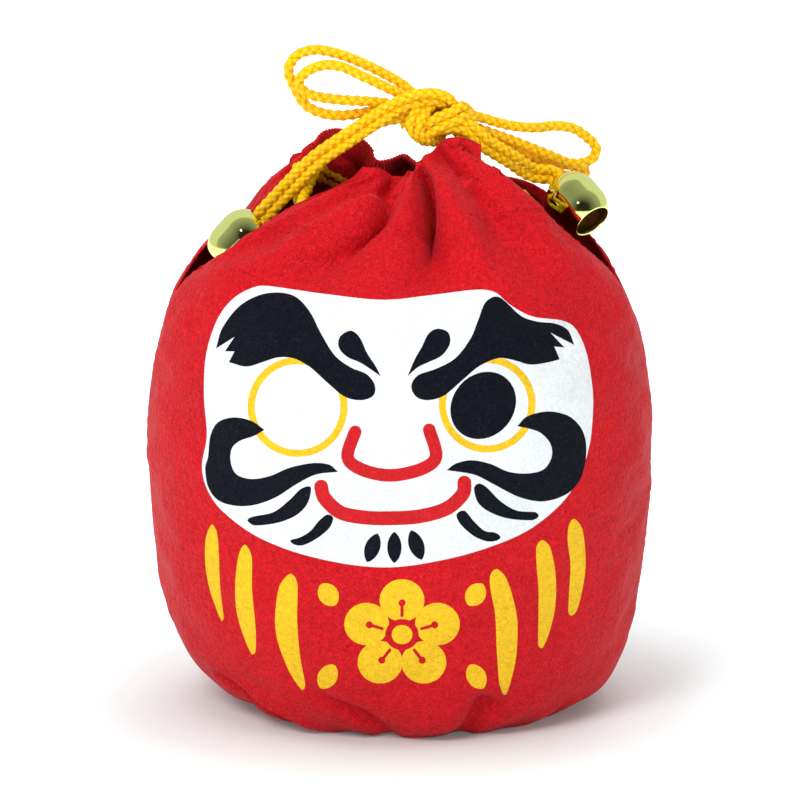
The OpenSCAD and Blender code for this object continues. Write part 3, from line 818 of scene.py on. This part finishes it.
def floor_material():
    """White board that glows a little far from the pouch, so that it fades into the background."""
    g = Graph("floor")
    place = g.add("ShaderNodeTexCoord").outputs["Object"]
    distance = g.add("ShaderNodeVectorMath", operation="LENGTH")
    g.link(place, distance.inputs[0])
    # Painted light: the board glows though it is no lamp. The glow is dim and a little cyan near the pouch,
    # so the pouch's shadow still shows and looks grey. It is brighter far off, where it also lights the
    # pouch's lower side. The board's own colour leans cyan against the red light that the pouch throws on it.
    fade = ((0.07, (0.04, 0.08, 0.08)), (0.13, (0.42, 0.45, 0.45)), (0.45, grey(0.58)))
    glow = g.ramp(distance.outputs["Value"], fade)
    tone = g.ramp(g.noise(place, 6, 2.0), ((0.3, (0.84, 0.88, 0.88)), (0.7, (0.87, 0.91, 0.91))))
    return g.finish(Base_Color=tone, Roughness=0.75, Emission_Color=glow, Emission_Strength=1.0)


MATERIALS = {
    "red": crepe("red_crepe", RED),
    "white": crepe("white_print", WHITE, painted_glint=0.15, shade=0.94, relief=0.25),
    "black": crepe("black_print", BLACK, painted_glint=0.3, shade=0.7, sheen=0.02, relief=0.5),
    "gold": crepe("gold_print", GOLD_INK, painted_glint=0.3, shade=0.84, relief=0.5),
    "vermilion": crepe("vermilion_print", VERMILION, painted_glint=0.3, shade=0.85),
    "inside": crepe("red_wrong_side", (0.66, 0.012, 0.018), painted_glint=0.2),
    "thread": crepe("red_thread", THREAD_RED, painted_glint=0.6),
    "overlock": crepe("overlock_thread", OVERLOCK, painted_glint=0.8),
    "braid": braid_material(),
    "plating": plating_material(),
    "bead_inside": bead_inside_material(),
    "floor": floor_material(),
}
CLOTH_T, LINING_T = 0.55, 0.5
BASE_ALLOWANCE_T, SIDE_ALLOWANCE_T = 0.9, 1.1


def thicken(piece, thickness=CLOTH_T, offset=-1, inside_slot=0):
    """Give a sheet its thickness inwards, with its wrong side in another material."""
    solid = piece.modifiers.new("thickness", "SOLIDIFY")
    solid.thickness = thickness * MM
    solid.offset = offset
    solid.material_offset = inside_slot


# ---------------------------------------------------------------- cord routes
# Routes in millimetres, as in the part's source. Two cords run round the mouth: one leaves it
# at the left slit and the other at the right, and the two are tied together in a bow.
CORD_D = 2.2
BRIDGE_LEFT = [(-26.5, -7.5, 124.5), (-25, -2.5, 123.5), (-25, 2.5, 123.5), (-26.5, 7.5, 124.5)]
BRIDGE_RIGHT = [(31.5, -7.5, 124), (30, -2.5, 123), (30, 2.5, 123), (31.5, 7.5, 124)]
RISER_LEFT_FRONT = [
    (-27, -7, 128), (-24.2, -3.5, 127.2), (-22.8, 2, 129.6), (-21.2, 1.8, 133.4), (-18.4, 1.2, 137.4),
    (-14, 0.6, 141.9), (-7, 0.3, 145.8), (0, -0.3, 147.6),
]
RISER_LEFT_BACK = [
    (-27, 7, 128), (-26, 4.8, 131.3), (-20, 3.5, 137.2), (-14, 3, 141.8), (-7, 2.7, 146), (0, 2.2, 148),
]
RISER_RIGHT_FRONT = [
    (31.5, -7, 127.5), (31, -4, 127.3), (26, -2, 129.5), (19, -1.6, 136.5), (14, -1.5, 144.5),
]
RISER_RIGHT_BACK = [(x, -y, z) for x, y, z in RISER_RIGHT_FRONT]
LOOP_LEFT_OUTER = [
    (-3, 6, 157.2), (-9, 6, 160.2), (-15, 6, 162.6), (-21, 6, 163.7), (-25.5, 6, 162.3), (-27.6, 6, 158.8),
    (-26, 6, 154), (-23.5, 6, 150), (-20, 6, 148), (-15, 6, 147.2), (-9, 6, 147.9),
]
LOOP_LEFT_INNER = [
    (-3, 3, 154.6), (-9.5, 3, 157.7), (-14.6, 3, 160), (-19, 3, 160.3), (-23.2, 3, 158.6), (-25, 3, 156.1),
    (-23.5, 3, 153.6), (-20.5, 3, 152.5), (-15, 3, 151.7), (-5, 3, 151),
]
LOOP_RIGHT_OUTER = [
    (20, 4, 147.1), (27, 7, 144.6), (33.6, 9.5, 143.5), (38.7, 11.5, 143.6), (43.2, 13, 142.7),
    (46.7, 14.5, 140.2), (49, 15, 137.5), (48.3, 15, 134.8), (45.4, 14, 133.7), (41.9, 13, 134),
    (37.7, 11, 136.1), (28, 8, 140.5),
]
LOOP_RIGHT_INNER = [
    (22, 7.5, 141), (31, 12, 136.5), (40, 16, 133.2), (46, 18, 131.5), (46, 20, 129), (39, 18, 130.5),
    (30, 14, 135), (23, 10.5, 138.5),
]
BEAD_AT = {"left": (-40, 3, 116), "right": (44, 1, 126)}
BEAD_DOWN = {"left": (-12, 1, -13.5), "right": (0.55, -0.6, -0.58)}
TAIL = {
    "left": [(-4, -2.4, 149), (-13, -2.4, 143), (-21, -1.8, 137.2)],
    "right": [(21, -1.2, 141.5), (27.5, 2.2, 136.9), (33, 6, 132.8)],
}
STRAIGHT = {"left": 16, "right": 10}
BEAD_R, BEAD_BAND, BEAD_WALL, BEAD_HOLE_R, BEAD_MOUTH_R = 6.75, 1.8, 0.8, 2.75, 4.7
BEAD_RIM = 0.12             # how far the rounded rims stand into the two openings
KNOT_BACK = 2.4
END_KNOT_R, END_KNOT_SIZE = 3.2, 2.15
PAIR_GAP = 1.08 * CORD_D    # between the two strands of a tail

# Where each loop runs on into the knot, before its first and after its last point
LOOP_ENDS = {
    "loop_left_outer": ([(5, 3, 151.5), (1, 5, 154.9)], [(-3, 5, 149.3), (4, 3, 150)]),
    "loop_left_inner": ([(5, 1, 150), (1, 2.4, 152.6)], [(0, 2.4, 150.2), (5, 1, 149.4)]),
    "loop_right_outer": ([(11, 2, 149.6), (16, 3, 148.6)], [(20.5, 4.4, 143.8), (14, 2, 146.5)]),
    "loop_right_inner": ([(12, 2, 147), (17, 4, 144.2)], [(18, 7, 141.4), (12, 3, 144.8)]),
}
# Where each strand of a tail runs back into the knot, hidden end first: the left pair arches
# over it, and the right pair comes out from under it
TAIL_ROOTS = {
    "left": [
        [(11, 3.5, 147), (13.0, 1, 149.2), (13.2, -1.5, 151.4), (11.3, -3.3, 153.6), (7.8, -4.0, 154.6),
         (3, -3.9, 153.9), (-2, -3.1, 151.6)],
        [(9, 3.5, 146.5), (11.2, 2, 148.0), (11.4, 0, 149.9), (10.2, -1.6, 151.6), (7.6, -2.4, 152.5),
         (3.4, -2.6, 151.8), (-0.6, -2.5, 149.9)],
    ],
    "right": [
        [(7.5, -2.2, 144.6), (11.5, -3.4, 145.5), (15.5, -3, 145.1)],
        [(9.5, -2.2, 146.4), (13, -2.8, 147.4), (17, -2.2, 146.7)],
    ],
}
# The turns of the knot: a pair wrapped round it, a pair that comes out of the wrap and turns down
# at the right, and what fills the middle
WRAP = [
    [(8, 2.5, 150.6), (6.5, -0.5, 151.9), (4.8, -2.8, 150.6), (3.0, -4.4, 148.3), (2.6, -4.8, 145.9),
     (4.4, -3.8, 143.5), (7, 0, 141.9), (9, 3, 143.6)],
    [(10, 2.5, 150.4), (8.6, -0.6, 151.4), (6.9, -3.2, 150.2), (5.2, -5.0, 148), (4.8, -5.2, 145.7),
     (6.5, -4.1, 143.3), (9, 0, 141.8), (11, 3, 143.6)],
]
SHOULDER = [
    [(5.2, -3.6, 146.0), (9.2, -4.6, 148.5), (12.6, -4.2, 149.9), (15.2, -2.6, 151.0), (16.8, -0.4, 149.7),
     (17.0, 1.8, 147.3), (15.0, 3.2, 145.4)],
    [(6.8, -3.6, 144.2), (10.4, -4.6, 146.4), (13.8, -4.0, 147.8), (16.2, -2.2, 148.8), (17.9, 0.1, 147.4),
     (17.6, 2.6, 145.3), (14.6, 3.6, 143.8)],
]
CORE = [
    [(0, 0.4, 146), (4, 0.6, 147.4), (9, 0.6, 147.6), (15, 0.6, 146)],
    [(2, 1.6, 150), (8, 2.2, 149.2), (15, 2, 148.4)],
]


# ---------------------------------------------------------------- braided cord
PLAIT_PITCH = 2.3          # one lump of the plait along the cord
PLAIT_ROUND = 3             # lumps round the cord in each direction
PLAIT_HEIGHT = 0.5
PLAIT_SWELL = 0.08          # how far the loose plait stands out past the cord's nominal size
CORD_SIDES = 24
CORD_STEP = 0.3


def unit(vector):
    vector = np.asarray(vector, float)
    return vector / np.linalg.norm(vector)


def smooth_route(points, step=CORD_STEP):
    """A smooth curve through the points, with steps of even length."""
    points = np.asarray(points, float)
    chords = np.concatenate([[0], np.cumsum(np.linalg.norm(np.diff(points, axis=0), axis=1) ** 0.5)])
    fine = np.linspace(0, chords[-1], 40 * len(points))
    curve = np.stack([smooth_table(fine, chords, points[:, k]) for k in range(3)], axis=1)
    run = np.concatenate([[0], np.cumsum(np.linalg.norm(np.diff(curve, axis=0), axis=1))])
    even = np.linspace(0, run[-1], max(4, int(round(run[-1] / step)) + 1))
    return np.stack([np.interp(even, run, curve[:, k]) for k in range(3)], axis=1)


def carried_frames(route, closed=False):
    """Two steady directions square to a route, carried along it without twist."""
    ahead = np.gradient(route, axis=0)
    if closed:
        ahead = np.roll(route, -1, axis=0) - np.roll(route, 1, axis=0)
    ahead /= np.linalg.norm(ahead, axis=1, keepdims=True)
    side = np.cross(ahead[0], (0.1, 1, 0.05))
    sides = []
    for direction in ahead:
        side = unit(side - (side @ direction) * direction)
        sides.append(side)
    sides = np.array(sides)
    return sides, np.cross(ahead, sides)


def plait_height(turn, run):
    """Relief of a round plait, from 0 in the gaps to 1 on the crowns of its strands."""
    a = PLAIT_ROUND * turn + run / PLAIT_PITCH
    b = PLAIT_ROUND * turn - run / PLAIT_PITCH
    over = (np.round(a) + np.round(b)) % 2 == 0
    off_a, off_b = a - np.round(a), b - np.round(b)
    across, lengthwise = np.where(over, off_a, off_b), np.where(over, off_b, off_a)
    return np.clip(np.cos(math.pi * across), 0, 1) ** 0.7 * (0.55 + 0.45 * np.cos(math.pi * lengthwise))


def tube_points(route, radius, turn, closed=False):
    """Rings round a route, with a radius at each of its points and each turn from 0 to 1."""
    sides, levels = carried_frames(route, closed)
    angle = 2 * math.pi * turn
    rings = route[:, None] + radius[..., None] * (
        sides[:, None] * np.cos(angle)[None, :, None] + levels[:, None] * np.sin(angle)[None, :, None]
    )
    return rings.reshape(-1, 3)


def tube_faces(count, sides, closed=False):
    """The faces between the rings of a tube, with a cap at each end of an open one."""
    faces = []
    for i in range(count if closed else count - 1):
        low, high = i * sides, (i + 1) % count * sides
        for k in range(sides):
            n = (k + 1) % sides
            faces.append((low + k, low + n, high + n, high + k))
    if not closed:
        faces += [tuple(range(sides))[::-1], tuple((count - 1) * sides + k for k in range(sides))]
    return faces


def braid_parts(route, closed=False, start=0.0):
    """Points, faces and relief of one braided strand that follows a route."""
    turn = np.arange(CORD_SIDES) / CORD_SIDES
    run = start + CORD_STEP * np.arange(len(route))
    relief = plait_height(turn[None, :], run[:, None])
    radius = CORD_D / 2 + PLAIT_SWELL + PLAIT_HEIGHT * (relief - 0.55)
    points = tube_points(route, radius, turn, closed)
    return points, tube_faces(len(route), CORD_SIDES, closed), relief.reshape(-1)


def braid_piece(name, routes, closed=False):
    """One piece made of braided strands."""
    points, faces, relief = [], [], []
    for k, route in enumerate(routes):
        part_points, part_faces, part_relief = braid_parts(route, closed, start=0.9 * k)
        first = sum(len(p) for p in points)
        points.append(part_points)
        faces += [tuple(first + v for v in f) for f in part_faces]
        relief.append(part_relief)
    piece = new_piece(name, np.concatenate(points), faces, [MATERIALS["braid"]])
    attribute = piece.data.attributes.new("relief", "FLOAT", "POINT")
    attribute.data.foreach_set("value", np.concatenate(relief).astype(np.float32))
    return piece


def side_by_side(route, gap):
    """Two routes beside each other in the upright plane, each half the gap from the given one."""
    ahead = np.gradient(route, axis=0)
    across = np.cross(ahead, (0, 1, 0))
    across /= np.linalg.norm(across, axis=1, keepdims=True)
    return route - across * gap / 2, route + across * gap / 2


def make_loops():
    loops = {
        "loop_left_outer": LOOP_LEFT_OUTER, "loop_left_inner": LOOP_LEFT_INNER,
        "loop_right_outer": LOOP_RIGHT_OUTER, "loop_right_inner": LOOP_RIGHT_INNER,
    }
    for name, route in loops.items():
        before, after = LOOP_ENDS[name]
        line = smooth_route(before + route + after)
        piece = braid_piece(name, [line])
        hand = name.split("_")[1]
        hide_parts(f"bow_loop_{hand}")
        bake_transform(piece)


def overhand_knot(middle, down, size):
    """A closed trefoil, as the knot that ends a cord pair."""
    turn = np.linspace(0, 2 * math.pi, 73)
    shape = np.stack([
        np.sin(turn) + 2 * np.sin(2 * turn), np.cos(turn) - 2 * np.cos(2 * turn), -1.4 * np.sin(3 * turn),
    ], axis=1) / 3
    across = unit(np.cross(down, (0, 1, 0)))
    level = np.cross(down, across)
    points = middle + size * (shape[:, :1] * across + shape[:, 1:2] * level + shape[:, 2:] * down)
    return smooth_route(points)[:-1]


def make_tails():
    for hand in ("left", "right"):
        at, down = np.array(BEAD_AT[hand], float), unit(BEAD_DOWN[hand])
        straight = [at - down * d for d in (STRAIGHT[hand], 1.3 * BEAD_R, KNOT_BACK + END_KNOT_R - 1)]
        middle = smooth_route(TAIL[hand] + straight)
        turns = overhand_knot(at - down * KNOT_BACK, down, END_KNOT_SIZE)
        knot = braid_piece(f"end_knot_{hand}", [turns], closed=True)
        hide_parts(f"end_knot_{hand}")
        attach(knot, f"tail_pair_{hand}")
        bead = make_bead(hand, at, down)
        for number, line in enumerate(side_by_side(middle, PAIR_GAP)):
            line = smooth_route(TAIL_ROOTS[hand][number] + line[::8].tolist() + [line[-1]])
            piece = braid_piece(f"tail_{hand}_{number + 1}", [line])
            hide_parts(f"tail_{hand}")
            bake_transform(piece)


def make_bow_knot():
    turns = [smooth_route(route) for group in (WRAP, SHOULDER, CORE) for route in group]
    piece = braid_piece("bow_knot_turns", turns)
    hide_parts("bow_knot")
    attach(piece, "pouch")


# ---------------------------------------------------------------- beads
def make_bead(hand, at, down):
    """A hollow plated shell with a small hole for the cords and a wide mouth."""
    def arc(r, first, last, count):
        angles = np.linspace(first, last, count)
        shift = np.where(angles < 0, -BEAD_BAND, BEAD_BAND)
        return [(r * math.cos(a), r * math.sin(a) + d) for a, d in zip(angles, shift)]

    inner_r = BEAD_R - BEAD_WALL
    outside = arc(BEAD_R, -math.acos(BEAD_HOLE_R / BEAD_R), -1e-3, 20)
    outside += arc(BEAD_R, 1e-3, math.acos(BEAD_MOUTH_R / BEAD_R), 20)
    inside = arc(inner_r, math.acos(BEAD_MOUTH_R / inner_r), 1e-3, 16)
    inside += arc(inner_r, -1e-3, -math.acos(BEAD_HOLE_R / inner_r), 16)
    mouth_rim = [(BEAD_MOUTH_R - BEAD_RIM, (outside[-1][1] + inside[0][1]) / 2)]
    hole_rim = [(BEAD_HOLE_R - BEAD_RIM, (outside[0][1] + inside[-1][1]) / 2)]
    profile = np.array(outside + mouth_rim + inside + hole_rim)
    sides = 96
    across = unit(np.cross(down, (0, 1, 0)))
    level = np.cross(down, across)
    turn = 2 * math.pi * np.arange(sides) / sides
    radial = np.cos(turn)[:, None] * across + np.sin(turn)[:, None] * level
    points = at + profile[None, :, :1] * radial[:, None] + profile[None, :, 1:] * down
    count = len(profile)
    faces, shades = [], []
    for i in range(sides):
        for k in range(count):
            a, b = i * count, (i + 1) % sides * count
            n = (k + 1) % count
            faces.append((a + k, b + k, b + n, a + n))
            shades.append(1 if len(outside) <= k < count - 1 else 0)
    materials = [MATERIALS["plating"], MATERIALS["bead_inside"]]
    bead = new_piece(f"bead_{hand}", points.reshape(-1, 3), faces, materials)
    bead.data.polygons.foreach_set("material_index", np.array(shades, np.int32))
    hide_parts(f"bead_{hand}")
    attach(bead, f"bead_body_{hand}")
    return bead


# ---------------------------------------------------------------- reading the cloth
class Cloth:
    """One settled half of the pouch, read at a place across and a level."""

    def __init__(self, side, settled, level):
        self.side = side
        self.points = settled
        self.normals = outward(side, settled)
        self.row_levels = level[:, 0]

    def at(self, s, level, out=0.0):
        s, level = np.broadcast_arrays(np.asarray(s, float), np.asarray(level, float))
        places = np.stack([
            (s.ravel() + 1) / 2 * (COLS - 1),
            np.interp(level.ravel(), self.row_levels, np.arange(ROWS)),
        ], axis=1)
        found = read_grid(self.points, places)
        found += np.broadcast_to(out, s.shape).reshape(-1, 1) * read_grid(self.normals, places)
        return found.reshape(*s.shape, 3)


THREAD_TIP = 0.35           # radius of a thread's ends, as a share of the thread's


def thread_piece(name, runs, radius, material="thread", sides=6):
    """Fine threads as one mesh: each run is a list of points."""
    points, faces = [], []
    total = 0
    for run in runs:
        run = np.asarray(run, float)
        taper = np.ones((len(run), 1))
        taper[0] = taper[-1] = THREAD_TIP
        points.append(tube_points(run, radius * taper, np.arange(sides) / sides))
        faces += [tuple(total + v for v in face) for face in tube_faces(len(run), sides)]
        total += len(run) * sides
    piece = new_piece(name, np.concatenate(points), faces, [MATERIALS[material]])
    return piece


STITCH, STITCH_GAP = 2.3, 0.7


def stitch_runs(line):
    """Short arched stitches along a line of points on the cloth, with its outward normals."""
    spots, normals = line
    run = np.concatenate([[0], np.cumsum(np.linalg.norm(np.diff(spots, axis=0), axis=1))])
    runs = []
    for start in np.arange(0.3, run[-1] - STITCH, STITCH + STITCH_GAP):
        at = start + STITCH * np.linspace(0, 1, 6)
        lift = 0.26 * np.sin(math.pi * np.linspace(0, 1, 6)) - 0.16
        place = np.stack([np.interp(at, run, spots[:, k]) for k in range(3)], axis=1)
        way = np.stack([np.interp(at, run, normals[:, k]) for k in range(3)], axis=1)
        runs.append(place + way * lift[:, None])
    return runs


def make_stitching(cloth, name, body):
    """Machine stitches along the channel's two edges and beside each slit."""
    runs = []
    s = np.linspace(-0.965, 0.965, 400)
    for level in (CHANNEL_LOW, CHANNEL_HIGH):
        line = cloth.at(s, level)
        runs += stitch_runs((line, cloth.at(s, level, 1.0) - line))
    up = np.linspace(SLIT_Z + 1.5, 140.5, 120)
    for edge in (-0.962, 0.962):
        line = cloth.at(np.full_like(up, edge), up)
        runs += stitch_runs((line, cloth.at(np.full_like(up, edge), up, 1.0) - line))
    piece = thread_piece(f"{name}_stitches", runs, 0.17)
    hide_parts(f"{name}_stitching")
    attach(piece, body)


def make_overlock(cloth, name, body):
    """Loose overlock thread that wraps the cut edge of the hem."""
    count = 420
    s = np.linspace(-0.93, 0.93, count)
    phase = np.arange(count) % 6
    level = np.choose(phase, [139.6, 140.9, 142, 142, 140.9, 139.4])
    out = np.choose(phase, [0.16, 0.2, 0.1, -0.7, -0.8, -0.75])
    line = smooth_route(cloth.at(s, level, out), 0.25)
    piece = thread_piece(f"{name}_overlock", [line], 0.15, "overlock", sides=5)
    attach(piece, body)


LINING_DEPTH, LINING_SAG = 0.75, 3.6    # behind the cloth at the stitches, and more between them


def make_facing(cloth, name, body):
    """Inner layer of the drawstring channel, which follows the gathers."""
    s = np.linspace(-0.97, 0.97, 140)
    across = np.linspace(0, 1, 12)
    level = CHANNEL_LOW + (CHANNEL_HIGH - CHANNEL_LOW) * across
    depth = -(LINING_DEPTH + LINING_SAG * np.sin(math.pi * across) ** 0.6)
    grid = cloth.at(s[None, :], level[:, None] + 0 * s, depth[:, None] + 0 * s)
    quads = grid_quads(*grid.shape[:2])
    if cloth.side == BACK:
        quads = [q[::-1] for q in quads]
    piece = new_piece(f"{name}_channel_lining", grid.reshape(-1, 3), quads, [MATERIALS["inside"]])
    thicken(piece, LINING_T)
    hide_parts(f"{name}_facing")
    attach(piece, body)


BASE_Z, BASE_SAG = 0.55, 0.25
PUCKERS, PUCKER_HEIGHT = 34, 0.45


def make_base(cloths):
    """The bottom: an oval of cloth with small gathers where the panels are sewn to it."""
    front = cloths[FRONT].at(np.linspace(-1, 1, 121), 0.0)
    back = cloths[BACK].at(np.linspace(1, -1, 121), 0.0)
    edge = np.concatenate([front[:-1], back[:-1]])
    count = len(edge)
    rings = 26
    turn = 2 * math.pi * np.arange(count) / count
    points = [[0, 0, BASE_Z]]
    for f in np.linspace(0, 1, rings)[1:]:
        wrinkle = PUCKER_HEIGHT * f**6 * (0.5 + 0.5 * np.cos(PUCKERS * turn + 2 * np.sin(3 * turn)))
        sag = BASE_Z + BASE_SAG * np.sin(math.pi * f) + wrinkle + np.maximum(f - 0.97, 0) * 9
        points += np.stack([edge[:, 0] * f * 0.992, edge[:, 1] * f * 0.992, sag], axis=1).tolist()
    faces = [(0, 1 + k, 1 + (k + 1) % count) for k in range(count)]
    for r in range(rings - 2):
        low, high = 1 + r * count, 1 + (r + 1) * count
        for k in range(count):
            n = (k + 1) % count
            faces.append((low + k, high + k, high + n, low + n))
    materials = [MATERIALS["red"], MATERIALS["inside"]]
    base = new_piece("base_cloth", points, [f[::-1] for f in faces], materials)
    thicken(base, inside_slot=1)
    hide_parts("base_panel")
    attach(base, "pouch")

    inner = np.stack([edge[:, 0] * 0.965, edge[:, 1] * 0.96, np.full(count, 1.6)], axis=1)
    top = np.stack([edge[:, 0] * 0.93, edge[:, 1] * 0.92, 3.6 + 0.5 * np.sin(19 * turn)], axis=1)
    strip = np.concatenate([inner, top])
    faces = [(k, (k + 1) % count, count + (k + 1) % count, count + k) for k in range(count)]
    allowance = new_piece("base_allowance", strip, faces, [MATERIALS["inside"]])
    thicken(allowance, BASE_ALLOWANCE_T)
    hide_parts("base_seam")
    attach(allowance, "pouch")


def make_side_seams(cloths):
    """Turned allowances inside each side seam, with overlock thread round their cut edge."""
    level = np.linspace(5, 103, 120)
    for hand, s in (("left", -1.0), ("right", 1.0)):
        sign = 1 if s > 0 else -1
        edge = cloths[FRONT].at(np.full_like(level, s), level)
        wave = 0.35 * np.sin(level / 4.1)
        rows = [
            edge + np.stack([0 * level - sign * (0.7 + d), wave * d / 4, 0 * level], axis=1)
            for d in (0, 1.3, 2.6, 3.8)
        ]
        grid = np.stack(rows, axis=1)
        strip = new_piece(
            f"side_allowance_{hand}", grid.reshape(-1, 3), grid_quads(*grid.shape[:2]), [MATERIALS["inside"]])
        thicken(strip, SIDE_ALLOWANCE_T, offset=0)
        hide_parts(f"seam_{hand}")
        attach(strip, "pouch")
        phase = np.arange(3 * (len(level) - 1))
        low = phase // 3
        tip = mix(grid[low, 3], grid[low + 1, 3], (phase % 3 / 3)[:, None])
        shift = np.choose(phase % 4, [0.7, 0.0, -0.7, 0.0])
        reach = np.choose(phase % 4, [1.0, -0.4, 1.0, -0.4])
        zigzag = tip + np.stack([sign * reach, shift, 0 * shift], axis=1)
        thread = thread_piece(f"side_overlock_{hand}", [zigzag], 0.14, "overlock", sides=5)
        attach(thread, "pouch")


def tuck_inside(cloth, run, depth):
    """Ease a run of points and keep it behind every fold that it passes."""
    flat = cloth.points.reshape(-1, 3)
    window, furthest = 2.2, 3.0
    start = cloth.side * run[:, 1]
    for _ in range(6):
        run[1:-1] = (run[:-2] + 2 * run[1:-1] + run[2:]) / 4
        for k in range(6, len(run) - 6):
            x, y, z = run[k]
            near = flat[(abs(flat[:, 0] - x) < window) & (abs(flat[:, 2] - z) < window)]
            if len(near):
                behind = max((cloth.side * near[:, 1]).min() - depth, start[k] - furthest)
                run[k, 1] = cloth.side * min(cloth.side * y, behind)
    return run


STRAND_SHIFT = 1.15         # of each of a channel's two cords, up or down from its middle
STRAND_DEPTH = 2.9          # of a cord's middle behind the cloth


def make_drawstrings(cloths):
    """Each cord's hidden stretches: from the bow, through one half of the mouth, to the far slit."""
    s = np.linspace(-0.92, 0.92, 81)
    middle = (CHANNEL_LOW + CHANNEL_HIGH) / 2
    routes = {
        ("front", "left"): (RISER_LEFT_FRONT, BRIDGE_RIGHT),
        ("back", "left"): (RISER_LEFT_BACK, BRIDGE_RIGHT),
        ("front", "right"): (RISER_RIGHT_FRONT, BRIDGE_LEFT),
        ("back", "right"): (RISER_RIGHT_BACK, BRIDGE_LEFT),
    }
    for (half, hand), (riser, bridge) in routes.items():
        side = FRONT if half == "front" else BACK
        level = middle + (STRAND_SHIFT if hand == "left" else -STRAND_SHIFT)
        run = cloths[side].at(s, np.full_like(s, level), -STRAND_DEPTH)
        run = tuck_inside(cloths[side], run, STRAND_DEPTH)[::2]
        run = run[(run[:, 0] > BRIDGE_LEFT[0][0]) & (run[:, 0] < BRIDGE_RIGHT[0][0])]
        if hand == "right":
            run = run[::-1]
        crossing = [p for p in bridge if p[1] * side > 0]
        crossing.sort(key=lambda p: -abs(p[1]))
        last = [(crossing[-1][0], 0, crossing[-1][2])]
        knot_end = [(riser[-1][0] + (3 if hand == "left" else -3), riser[-1][1], riser[-1][2] + 0.6)]
        line = smooth_route(np.concatenate([knot_end, riser[:0:-1], run[1:-1], crossing[1:], last]))
        piece = braid_piece(f"drawstring_{half}_{hand}", [line])
        nodes = [f"riser_{hand}", f"{half}_drawstrings", "bridge_right" if hand == "left" else "bridge_left"]
        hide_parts(*nodes)
        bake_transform(piece)


def make_cloth():
    """The front with its print, and the plain back, each one sheet from base to hem."""
    cloths = {}
    for side, name, body in ((FRONT, "front", "front_mouth"), (BACK, "back", "back_mouth")):
        settled, level = form_panel(side)
        cloths[side] = Cloth(side, settled, level)
        if side == FRONT:
            materials = [MATERIALS[ink] for ink in INKS] + [MATERIALS["inside"]]
            piece = printed_cloth("front_cloth", settled, artwork(), materials)
            thicken(piece, inside_slot=len(INKS))
        else:
            quads = [q[::-1] for q in grid_quads(*settled.shape[:2])]
            materials = [MATERIALS["red"], MATERIALS["inside"]]
            piece = new_piece("back_cloth", settled.reshape(-1, 3), quads, materials)
            thicken(piece, inside_slot=1)
        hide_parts(f"{name}_panel", f"{name}_casing")
        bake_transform(piece)
        make_facing(cloths[side], name, body)
        make_stitching(cloths[side], name, body)
    make_overlock(cloths[BACK], "back_hem", "back_mouth")
    return cloths


make_camera()
make_lights()
cloths = make_cloth()
make_drawstrings(cloths)
make_loops()
make_tails()
make_bow_knot()
make_base(cloths)
make_side_seams(cloths)
floor = new_piece(
    "floor", [(-9000, -3000, 0), (9000, -3000, 0), (9000, 15000, 0), (-9000, 15000, 0)], [(0, 1, 2, 3)],
    [MATERIALS["floor"]],
)
